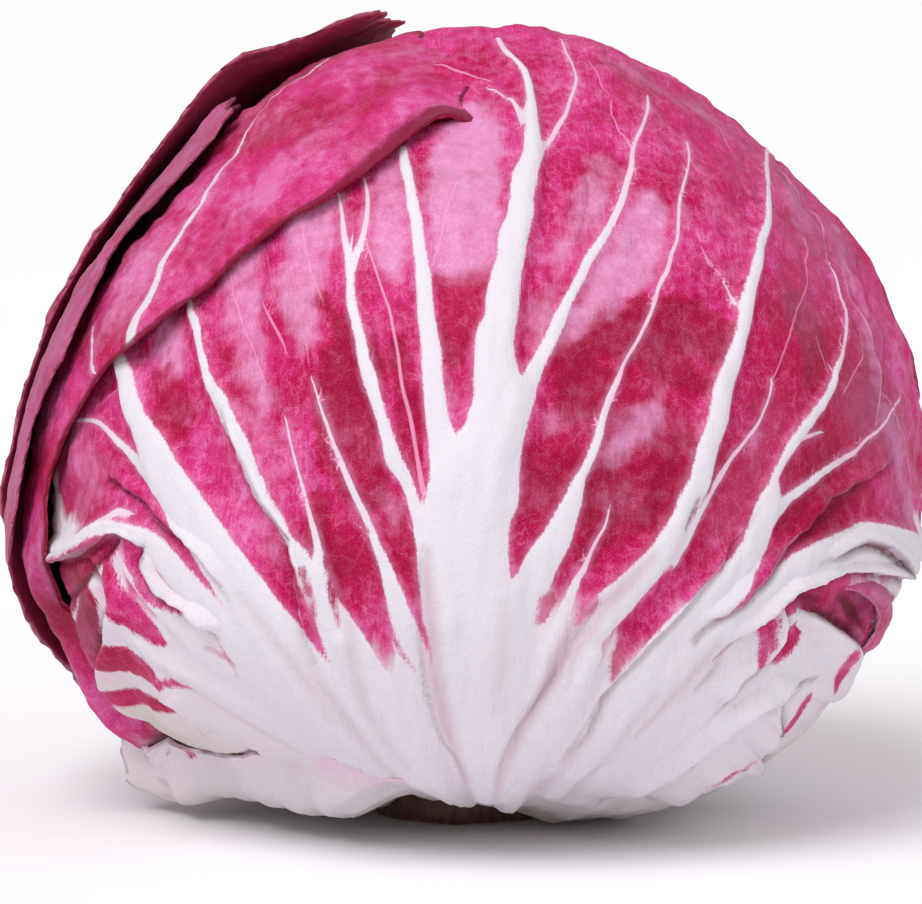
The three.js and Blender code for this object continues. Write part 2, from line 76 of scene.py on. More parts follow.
BLISTER, RIDGE = 0.45, 0.10                    # mm, what stands up between the ribs and along them
SWELL = 1.4                 # mm that the front leaf's sides stand off the head
DRAWING_RISE = 0.4          # mm that the front leaf's drawing stands over its blade
SUNK, SUNK_UNDER = 0.25, 0.85                  # mm that a sunk end's faces lie in the leaf beneath
FLAP_SUNK = 0.35            # mm that a folded sheet's back edge lies in the leaf it grows from
FLAP_THICK = 0.75           # mm, its thickness there
BALL = 57.0                 # mm, the ball that distances along the surface are taken on
DEGREE = BALL * math.pi / 180                  # mm on that ball
JOIN = 0.3                  # mm, how softly strokes run together
WIDTH = 0.88                # the surface is nearer than the centre, so strokes look wider
PARTS = 4                   # straight parts of a stroke between two of its points
FAR = 50.0                  # mm, farther from a stroke than anything it touches


def ease(a, b, v):
    """0 at a and 1 at b, smooth between; b may be the smaller."""
    t = np.clip((v - a) / (b - a), 0, 1)
    return t * t * (3 - 2 * t)


def table(rows, k):
    """Straight lines through (key, value) rows, read at k."""
    return np.interp(k, [r[0] for r in rows], [r[1] for r in rows])


def curve(a, b, c, d, f):
    """A round path from b to c, f of the way, with a before and d after."""
    return 0.5 * (2 * b + (c - a) * f + (2 * a - 5 * b + 4 * c - d) * f**2
                  + (3 * b - a - 3 * c + d) * f**3)


def spline(values, x):
    v = np.asarray(values, float)
    v = np.concatenate([[2 * v[0] - v[1]], v, [2 * v[-1] - v[-2]]])
    i = np.clip(np.floor(x).astype(int), 0, len(values) - 2)
    return curve(v[i], v[i + 1], v[i + 2], v[i + 3], x - i)


def unit(v):
    return v / np.maximum(np.linalg.norm(v, axis=-1, keepdims=True), 1e-12)


def rounded(d, steps):
    """A round path through directions d, read at `steps` (0 to len - 1)."""
    i = np.clip(np.floor(steps).astype(int), 0, len(d) - 2)
    q = np.concatenate([[2 * d[0] - d[1]], d, [2 * d[-1] - d[-2]]])
    return unit(curve(q[i], q[i + 1], q[i + 2], q[i + 3], (steps - i)[:, None]))


def radius(shape, d):
    """How far a form reaches in the directions d."""
    x, y, z = d[..., 0], d[..., 1], d[..., 2]
    e = (np.degrees(np.arcsin(np.clip(z, -1, 1))) + 90) / FORM_STEP
    h = np.maximum(x * x + y * y, 1e-12)
    rx = np.where(x > 0, spline(shape["right"], e), spline(shape["left"], e))
    ry = np.where(y < 0, spline(shape["front"], e), spline(shape["back"], e))
    return (x * x * rx + y * y * ry) / h


def outline_form(d):
    return radius(OUTLINE, d)


form = outline_form         # the surface that pixels are read on


def leaf_dir(theta, a, b):
    """Directions of leaf angles on a leaf whose middle faces theta."""
    t, a, b = math.radians(theta), np.radians(a), np.radians(b)
    c = np.cos(b)
    return np.stack([c * np.sin(a) * math.cos(t) - np.sin(b) * math.sin(t),
                     c * np.sin(a) * math.sin(t) + np.sin(b) * math.cos(t), -c * np.cos(a)], -1)


def leaf_angles(theta, d):
    t = math.radians(theta)
    x, y, z = d[..., 0], d[..., 1], d[..., 2]
    b = np.degrees(np.arcsin(np.clip(-x * math.sin(t) + y * math.cos(t), -1, 1)))
    a = np.degrees(np.arctan2(x * math.cos(t) + y * math.sin(t), -z))
    return np.where(a < -60, a + 360, a), b


RAY_STEPS = EYE_DISTANCE - 75 + np.arange(0, 150, 0.4)     # mm from the eye, through the head
TRIES, MOVE_IN = 60, 0.006


def from_picture(points):
    """Directions from the head's centre to what these pixels show."""
    p = np.array(points, float)
    for _ in range(TRIES):
        x, z = (p[:, 0] - SHEET[0]) * UNIT, (SHEET[1] - p[:, 1]) * UNIT
        at = x[:, None] * np.array([1.0, 0, 0]) + z[:, None] * UP
        q = EYE + unit(at - EYE)[:, None, :] * RAY_STEPS[None, :, None]
        length = np.linalg.norm(q, axis=-1)
        inside = length <= form(q / length[..., None])
        lost = ~inside.any(axis=1)
        if not lost.any():
            break
        # a pixel just off the form is moved in until it meets it
        p[lost] += (np.array(SHEET) - p[lost]) * MOVE_IN
    return unit(q[np.arange(len(p)), np.argmax(inside, axis=1)])


# ------------------------------------------- heights of what is already laid
CELL = 2                    # degrees between the points of the height map
NA, NE = 360 // CELL, 180 // CELL + 1
laid = np.zeros((NE, NA))


def half_width(reach, i, j):
    """Cells to each side that lie within reach of row i on row j."""
    pole = max(abs(i - NE // 2), abs(j - NE // 2)) * CELL
    cos_e = max(math.cos(math.radians(pole)), 0.012)
    dy = (j - i) * CELL
    return min(NA // 2 - 1, int(math.sqrt(max(reach * reach - dy * dy, 0)) / CELL / cos_e)), cos_e, dy


def near_rows(reach, i):
    rows = math.ceil(reach / CELL)
    return range(max(0, i - rows), min(NE, i + rows + 1))


def window_max(row, half):
    n, cur, width = 2 * half + 1, row, 1
    while width * 2 <= n:
        cur = np.maximum(cur, np.roll(cur, -width))
        width *= 2
    if width < n:
        cur = np.maximum(cur, np.roll(cur, -(n - width)))
    return np.roll(cur, half)


def spread(grid, reach):
    """The highest value within reach, in degrees."""
    out = np.full_like(grid, -1e9)
    for i in range(NE):
        for j in near_rows(reach, i):
            out[i] = np.maximum(out[i], window_max(grid[j], half_width(reach, i, j)[0]))
    return out


kernels = {}


def soften(grid, reach):
    """A round average over reach, in degrees."""
    if reach not in kernels:
        full = []
        k = np.minimum(np.arange(NA), NA - np.arange(NA))
        for i in range(NE):
            for j in near_rows(reach, i):
                half, cos_e, dy = half_width(reach, i, j)
                g = np.exp(-2 * ((k * CELL * cos_e)**2 + dy * dy) / reach**2) * (k <= half)
                full.append((i, j, np.fft.rfft(g), g.sum()))
        kernels[reach] = full
    f = np.fft.rfft(grid, axis=1)
    acc, w = np.zeros_like(f), np.zeros(NE)
    for i, j, g, total in kernels[reach]:
        acc[i] += f[j] * g
        w[i] += total
    return np.fft.irfft(acc, NA, axis=1) / w[:, None]


def bed(reach):
    """A soft surface over all that is laid, for the next leaf to lie on."""
    high = spread(laid, reach)
    soft = high
    for _ in range(3):
        soft = np.maximum(soften(soft, reach * 1.6), high)
    return soften(soft, 4.0)


def map_place(d):
    """Where directions lie on the height map, in cells."""
    around = (np.degrees(np.arctan2(d[..., 1], d[..., 0])) + 360) / CELL
    return around, (np.degrees(np.arcsin(np.clip(d[..., 2], -1, 1))) + 90) / CELL


def look(grid, d):
    """The height map read at the directions d."""
    az, el = map_place(d)
    ia, ie = np.floor(az).astype(int), np.clip(np.floor(el).astype(int), 0, NE - 2)
    fa, fe = az - ia, el - ie
    fa = fa * fa * (3 - 2 * fa) * 0.5 + fa * 0.5

    def row(e):
        return grid[e, ia % NA] * (1 - fa) + grid[e, (ia + 1) % NA] * fa

    return row(ie) * (1 - fe) + row(ie + 1) * fe


def lay(d, h):
    """Adds a leaf of height h to what is laid."""
    az, el = (np.rint(x).astype(int) for x in map_place(d))
    np.maximum.at(laid, (el.ravel(), (az % NA).ravel()), h.ravel())


# ---------------------------------------------------------------- soft noise
def wander(p, scale, seed, octaves=3):
    """Smooth noise from sines in turned directions, about -1 to 1."""
    r = np.random.default_rng(seed)
    total, amp, norm = np.zeros(p.shape[:-1]), 1.0, 0.0
    for _ in range(octaves):
        for _ in range(5):
            k = unit(r.normal(size=3)) * (2 * math.pi / scale) * r.uniform(0.7, 1.4)
            total += amp * np.sin(p @ k + r.uniform(0, 6.28))
        norm += amp * 1.6
        amp *= 0.55
        scale *= 0.5
    return total / norm


# -------------------------------------------------------------- drawn strokes
# what a set of strokes says of each point: signed side distance, distance,
# half width and strength of the nearest one, the raised relief of all, and
# the gap to their joined outline, rounded where strokes meet
Measured = namedtuple("Measured", "side dist half power relief gap")


def spread_widths(pts, widths):
    """Widths at every point, spread evenly over the path."""
    return np.interp(np.linspace(0, 1, len(pts)), np.linspace(0, 1, len(widths)), widths)


def near_path(p, pts, room):
    """The points of p that may lie within `room` of a path."""
    mid = pts.mean(0)
    far = np.linalg.norm(pts - mid, axis=1).max() + room
    return np.nonzero(((p - mid)**2).sum(1) < far * far)[0]


def to_segment(p, a, ab):
    """Share of the way along a segment, distance from it, and its side."""
    ap = p - a
    t = np.clip(ap @ ab / (ab @ ab), 0, 1)
    v = ap - t[:, None] * ab
    return t, np.sqrt((v * v).sum(1)), np.sign(v @ np.cross(a, ab))


class Strokes:
    """Paths on the ball, each point with a half width in mm."""

    def __init__(self):
        self.paths = []

    def picture(self, pts, widths, high=0.0, strength=1.0):
        """Pixels and full widths in pixels."""
        self.add(from_picture(pts), spread_widths(pts, widths) * UNIT / 2 * WIDTH, high, strength)

    def angles(self, theta, pts, widths, high=0.0, strength=1.0):
        """Leaf angles and full widths in mm."""
        p = np.asarray(pts, float)
        self.add(leaf_dir(theta, p[:, 0], p[:, 1]), spread_widths(pts, widths) / 2, high, strength)

    def add(self, d, w, high, strength):
        n = len(d)
        if n > 2:
            t = np.linspace(0, n - 1, (n - 1) * PARTS + 1)
            d = rounded(d, t)
            w = np.interp(t, np.arange(n), w)
        self.paths.append((d * BALL, w, high, strength))

    def measure(self, d, room=7.0):
        """What the strokes say of the directions d."""
        p = d.reshape(-1, 3) * BALL
        n = len(p)
        best, side, dist = np.full(n, FAR), np.full(n, FAR), np.full(n, FAR)
        half, power = np.full(n, 0.1), np.ones(n)
        relief, joined = np.zeros(n), np.full(n, 1e-12)
        for pts, w, high, strength in self.paths:
            near = near_path(p, pts, w.max() + room)
            if not len(near):
                continue
            own = np.full(len(near), 99.0)
            own_side, own_dist, own_half = own.copy(), own.copy(), own * 0 + 0.1
            for k in range(len(pts) - 1):
                t, dd, s = to_segment(p[near], pts[k], pts[k + 1] - pts[k])
                ww = w[k] + (w[k + 1] - w[k]) * t
                better = dd - ww < own
                own = np.where(better, dd - ww, own)
                own_side = np.where(better, dd * s, own_side)
                own_dist = np.where(better, dd, own_dist)
                own_half = np.where(better, ww, own_half)
            if high:
                flank = 0.45 + own_half * 0.9
                bump = high * np.clip(own_half / 0.9, 0.25, 1)
                bump = bump * (1 - ease(own_half * 0.35, own_half + flank, own_dist))
                relief[near] = np.maximum(relief[near], bump) + 0.25 * np.minimum(relief[near], bump)
            joined[near] += np.exp(-np.clip(own, -9, 9) / JOIN)
            better = own < best[near]
            idx = near[better]
            best[idx] = own[better]
            side[idx], dist[idx], half[idx] = own_side[better], own_dist[better], own_half[better]
            power[idx] = strength
        gap = np.maximum(-JOIN * np.log(joined), best - 0.6)
        return Measured(*[x.reshape(d.shape[:-1]) for x in (side, dist, half, power, relief, gap)])


class Lips(Strokes):
    """Fold edges: the surface stands up by `high` on the left of the path,
    seen from outside, falls sharply across it and eases away over `reach`."""

    def lift(self, d):
        p = d.reshape(-1, 3) * BALL
        total = np.zeros(len(p))
        for pts, _, high, reach in self.paths:
            near = near_path(p, pts, reach * 3)
            if not len(near):
                continue
            best, side, along = np.full(len(near), 99.0), np.zeros(len(near)), np.zeros(len(near))
            last = len(pts) - 1
            for k in range(last):
                t, dd, s = to_segment(p[near], pts[k], pts[k + 1] - pts[k])
                better = dd < best
                side = np.where(better, dd * s, side)
                along = np.where(better, (k + t) / last, along)
                best = np.where(better, dd, best)
            ends = ease(0, 0.14, along) * (1 - ease(0.86, 1, along))
            shape = ease(-0.45, 0.15, side) * np.exp(-np.maximum(side, 0) / reach)
            total[near] = np.maximum(total[near], high * ends * shape)
        return total.reshape(d.shape[:-1])


def blobs(d, spots):
    """Sum of soft round patches: pixel x, y, radius in pixels, amount."""
    total = np.zeros(d.shape[:-1])
    at = from_picture([s[:2] for s in spots]) * BALL
    p = d * BALL
    for (_, _, r, amount), c in zip(spots, at):
        total += amount * np.exp(-((p - c)**2).sum(-1) / (2 * (r * UNIT)**2))
    return total


# ------------------------------------------------------------------ one leaf
def edge_rows(theta, e):
    """An edge as (a, b) rows, given in leaf angles and in pixels."""
    rows = [tuple(r) for r in e["rows"]] if isinstance(e, dict) else list(e)
    if isinstance(e, dict):
        rows += list(zip(*leaf_angles(theta, from_picture(e["picture"]))))
    rows.sort()
    kept = [rows[0]]
    for r in rows[1:]:
        if r[0] > kept[-1][0] + 1:
            kept.append(r)
    return kept


def leaf_grid(spec, rows, cols):
    """Leaf angles of a rows x cols net between the leaf's edges."""
    theta, a0 = spec["theta"], spec["a0"]
    left, right = edge_rows(theta, spec["left"]), edge_rows(theta, spec["right"])
    wave, ragged = spec.get("wave", 1.2), spec.get("ragged", 0.35)

    def side(a, k):
        return wave * (np.sin(a * 0.21 + k * 2.1 + theta) + 0.6 * np.sin(a * 0.47 + k + theta * 0.3))

    def fine(a, k):
        return ragged * (np.sin(a * 1.7 + k) + 0.7 * np.sin(a * 3.1 + theta)
                         + 0.5 * np.sin(a * 5.3 + 2 * k))

    def across(a, v):
        lo = table(left, a) + side(a, 0)
        hi = table(right, a) + side(a, 1)
        return lo + (hi - lo) * v + fine(a, 0) * (1 - v)**12 + fine(a, 1) * v**12

    v = np.linspace(0, 1, cols)
    tip = np.full(cols, 150.0)
    for _ in range(14):         # until the tip meets the edge rows
        tip += 0.6 * (table(spec["tip"], across(tip, v)) - tip)
    tip += np.sin(v * 23 + theta)
    base = a0 + spec.get("base_drop", 3) * np.abs(2 * v - 1)**2
    u = np.linspace(0, 1, rows)[:, None]
    a = base + (tip - base) * u + ragged * (np.sin(v * 61) + 0.7 * np.sin(v * 97 + 1)) * u**12
    return a, across(a, v), u + 0 * a, v + 0 * a


# how far out ribs have come, by leaf angle a: what fine lines follow, and grown ribs
FAN = [(8, 0.15), (20, 0.25), (60, 0.6), (100, 0.9), (150, 1)]
RIB_FAN = [(20, 0.15), (60, 0.55), (100, 0.9), (150, 1)]


def fan(spec, a, b):
    """b as it runs out along the ribs, which close in towards the stem."""
    return b / np.maximum(table(spec.get("fan", FAN), a), 0.15)


def foot_extra(spec, a, b):
    """How much thicker the foot of a leaf is, slimmer at its sides."""
    slim = 1 - spec.get("slim", 0) * ease(12, 40, np.abs(b))
    return spec.get("foot", 1.0) * (1 - ease(spec["a0"], spec["a0"] + FOOT_REACH, a)) * slim


def swell(a, b):
    """The front leaf stands off the head at its sides."""
    return SWELL * ease(46, 62, np.abs(b)) * ease(30, 60, a)


def flare(spec, a, u, v):
    """How far the edges of a leaf are lifted off the head."""
    f = spec.get("flare", {})
    edges = [table(f.get(edge, [(0, 0)]), a) * np.clip(1 - away / f.get(edge + "_wide", 0.2), 0, 1)**2
             for edge, away in (("left", v), ("right", 1 - v))]
    return np.maximum.reduce(edges + [
        f.get("tip", 0) * np.clip(1 - (1 - u) / f.get("tip_wide", 0.2), 0, 1)**2])


def edge_room(a, b, u, v):
    """Distance in mm from the free edges."""
    sides = np.minimum(v, 1 - v) * (b[:, -1:] - b[:, :1]) * np.maximum(np.sin(np.radians(a)), 0.3)
    return np.minimum(sides, (1 - u) * (a[-1] - a[0])) * BALL * math.pi / 180


def build_leaf(spec, drawn, rows, cols):
    """Lays one leaf over the others and returns its mesh object."""
    soft, under = bed(spec.get("reach", 5)), laid.copy()
    a, b, u, v = leaf_grid(spec, rows, cols)
    d = leaf_dir(spec["theta"], a, b)
    p = d * BALL
    inner = look(soft, d) + spec.get("gap", GAP) + flare(spec, a, u, v)
    thick = BLADE + foot_extra(spec, a, b)

    data = {key: strokes.measure(d) for key, strokes in drawn.items()}
    rib, crease = data["rib"], data["crease"]
    fade = np.clip(1 - spec.get("rib_fade", 0.6) * ease(90, 165, a), 0.25, 1)
    fold = spec["folds"](d, a, b) if "folds" in spec else 0
    lay(d, inner + thick + np.minimum(rib.relief, 2.6) * fade + np.maximum(fold, 0))

    # blisters between the ribs, fine ridges along them and sunk creases
    clear = ease(0.3, 4.0, rib.dist - rib.half)
    seed = spec["seed"]
    quilt = BLISTER * clear * (wander(p, 13, seed) * 0.7 + wander(p, 5.5, seed + 1, 2) * 0.35)
    f = fan(spec, a, b)
    ridge = RIDGE * wander(np.stack([f, f * 0.4, a * 0.12], -1), 2.8, seed + 2, 2)
    dip = -crease.power * 0.7 * (1 - ease(0, 0.5 + crease.half * 1.6, crease.dist))
    up = rib.relief * fade + data["vein"].relief
    outer = inner + thick + up + quilt + ridge * (1 - 0.5 * clear) + dip + fold
    outer = np.maximum(outer, inner + LEAST)
    # thinner towards the free edges
    room = edge_room(a, b, u, v)
    outer = inner + (outer - inner) * (0.4 + 0.6 * ease(0, 2.6, room))
    if "sink" in spec:       # the end of a fold runs into the leaf beneath
        s = spec["sink"](a, b, u, v)
        ground = look(under, d)
        outer += s * (ground - SUNK - outer)
        inner += s * (ground - SUNK_UNDER - inner)
    size = radius(HEART, d)
    is_front = "valley" in spec
    data.update(
        along=a * DEGREE, aside=f * DEGREE, edge=room, pale=spec["pale"](d, a, b),
        tone=spec["tone"](d, a, b), bloom=spec["bloom"](d, a, b),
        dark=spec["dark"](d, a, b) if "dark" in spec else 0 * a,
        valley=spec["valley"](d) if is_front else 0 * a, dull=blobs(d, DULL) if is_front else 0 * a)
    return shell(spec["name"], CENTRE + d * (size + outer)[..., None],
                 CENTRE + d * (size + inner)[..., None], data)


INNER_STEP = 3              # the inner face keeps every third row and column
# the map: the outer face fills the left, the inner face the right, the rim a strip
OUTER_MAP, INNER_MAP, RIM_MAP = (0, 0.62), (0.64, 0.98), (0.985, 0.015)


def quad_faces(index, turned=False):
    corners = [index[:-1, :-1], index[:-1, 1:], index[1:, 1:], index[1:, :-1]]
    if turned:
        corners = [corners[k] for k in (0, 3, 2, 1)]
    return np.stack(corners, -1).reshape(-1, 4)


def rim_faces(outer, inner):
    """Triangles between the fine outer edge and the coarse inner one."""
    rim = []
    for fine, coarse, turn in ((outer[0], inner[0], 1), (outer[-1], inner[-1], -1),
                               (outer[:, 0], inner[:, 0], -1), (outer[:, -1], inner[:, -1], 1)):
        for k in range(len(coarse) - 1):
            f = fine[k * INNER_STEP:(k + 1) * INNER_STEP + 1]
            c0, c1 = coarse[k], coarse[k + 1]
            rim += [t[::turn] for t in ((f[0], c0, f[1]), (f[1], c0, c1), (f[1], c1, f[2]), (f[2], c1, f[3]))]
    return np.array(rim)


def map_points(span, rows, cols):
    x, y = np.linspace(*span, cols)[None, :], np.linspace(0, 1, rows)[:, None]
    return np.stack(np.broadcast_arrays(x, y), -1).reshape(-1, 2)


def link(ob):
    bpy.context.scene.collection.objects.link(ob)
    return ob


def shell(name, top, low, data):
    """One closed mesh: the fine outer face, the coarser inner one and the rim."""
    nr, nc = top.shape[:2]
    few = np.ix_(np.arange(0, nr, INNER_STEP), np.arange(0, nc, INNER_STEP))
    low = low[few]
    mr, mc = low.shape[:2]
    outer = np.arange(nr * nc).reshape(nr, nc)
    inner = nr * nc + np.arange(mr * mc).reshape(mr, mc)
    quads = np.concatenate([quad_faces(outer), quad_faces(inner, turned=True)])
    rim = rim_faces(outer, inner)
    mid = top[nr // 2:nr // 2 + 2, nc // 2:nc // 2 + 2].reshape(-1, 3)
    if np.dot(np.cross(mid[1] - mid[0], mid[2] - mid[0]), mid[0] - CENTRE) < 0:
        quads, rim = quads[:, ::-1], rim[:, ::-1]
    verts = np.concatenate([top.reshape(-1, 3), low.reshape(-1, 3)]) * MM
    loops = np.concatenate([quads.ravel(), rim.ravel()])
    sizes = np.concatenate([np.full(len(quads), 4), np.full(len(rim), 3)])
    mesh = bpy.data.meshes.new(name)
    mesh.vertices.add(len(verts))
    mesh.vertices.foreach_set("co", verts.ravel())
    mesh.loops.add(len(loops))
    mesh.loops.foreach_set("vertex_index", loops)
    mesh.polygons.add(len(sizes))
    mesh.polygons.foreach_set("loop_start", np.concatenate([[0], np.cumsum(sizes)[:-1]]))
    mesh.update(calc_edges=True)
    mesh.validate()
    mesh.polygons.foreach_set("use_smooth", sizes == 4)     # smooth faces, crisp rim

    def store(key, grid, rest=None):
        rest = grid if rest is None else rest
        full = [np.broadcast_to(grid, (nr, nc)).ravel(), np.broadcast_to(rest, (nr, nc))[few].ravel()]
        att = mesh.attributes.new(key, "FLOAT", "POINT")
        att.data.foreach_set("value", np.concatenate(full).astype(np.float32))

    for key, value in data.items():
        if not isinstance(value, Measured):
            store(key, value)
            continue
        for part in ("half", "gap", "power"):
            store(key + "_" + part, getattr(value, part))
    # veins are thinner than the net, so they are drawn by their signed side
    store("vein_side", data["vein"].side)
    store("vein_dist", data["vein"].dist)
    store("inside", np.zeros((nr, nc)), np.ones((nr, nc)))
    uv = mesh.uv_layers.new(name="OFBake")
    both = np.concatenate([map_points(OUTER_MAP, nr, nc), map_points(INNER_MAP, mr, mc)])[loops]
    cut = quads.size
    both[cut:, 0] = RIM_MAP[0] + RIM_MAP[1] * (loops[cut:] >= nr * nc)
    uv.data.foreach_set("uv", both.astype(np.float32).ravel())
    return link(bpy.data.objects.new(name, mesh))


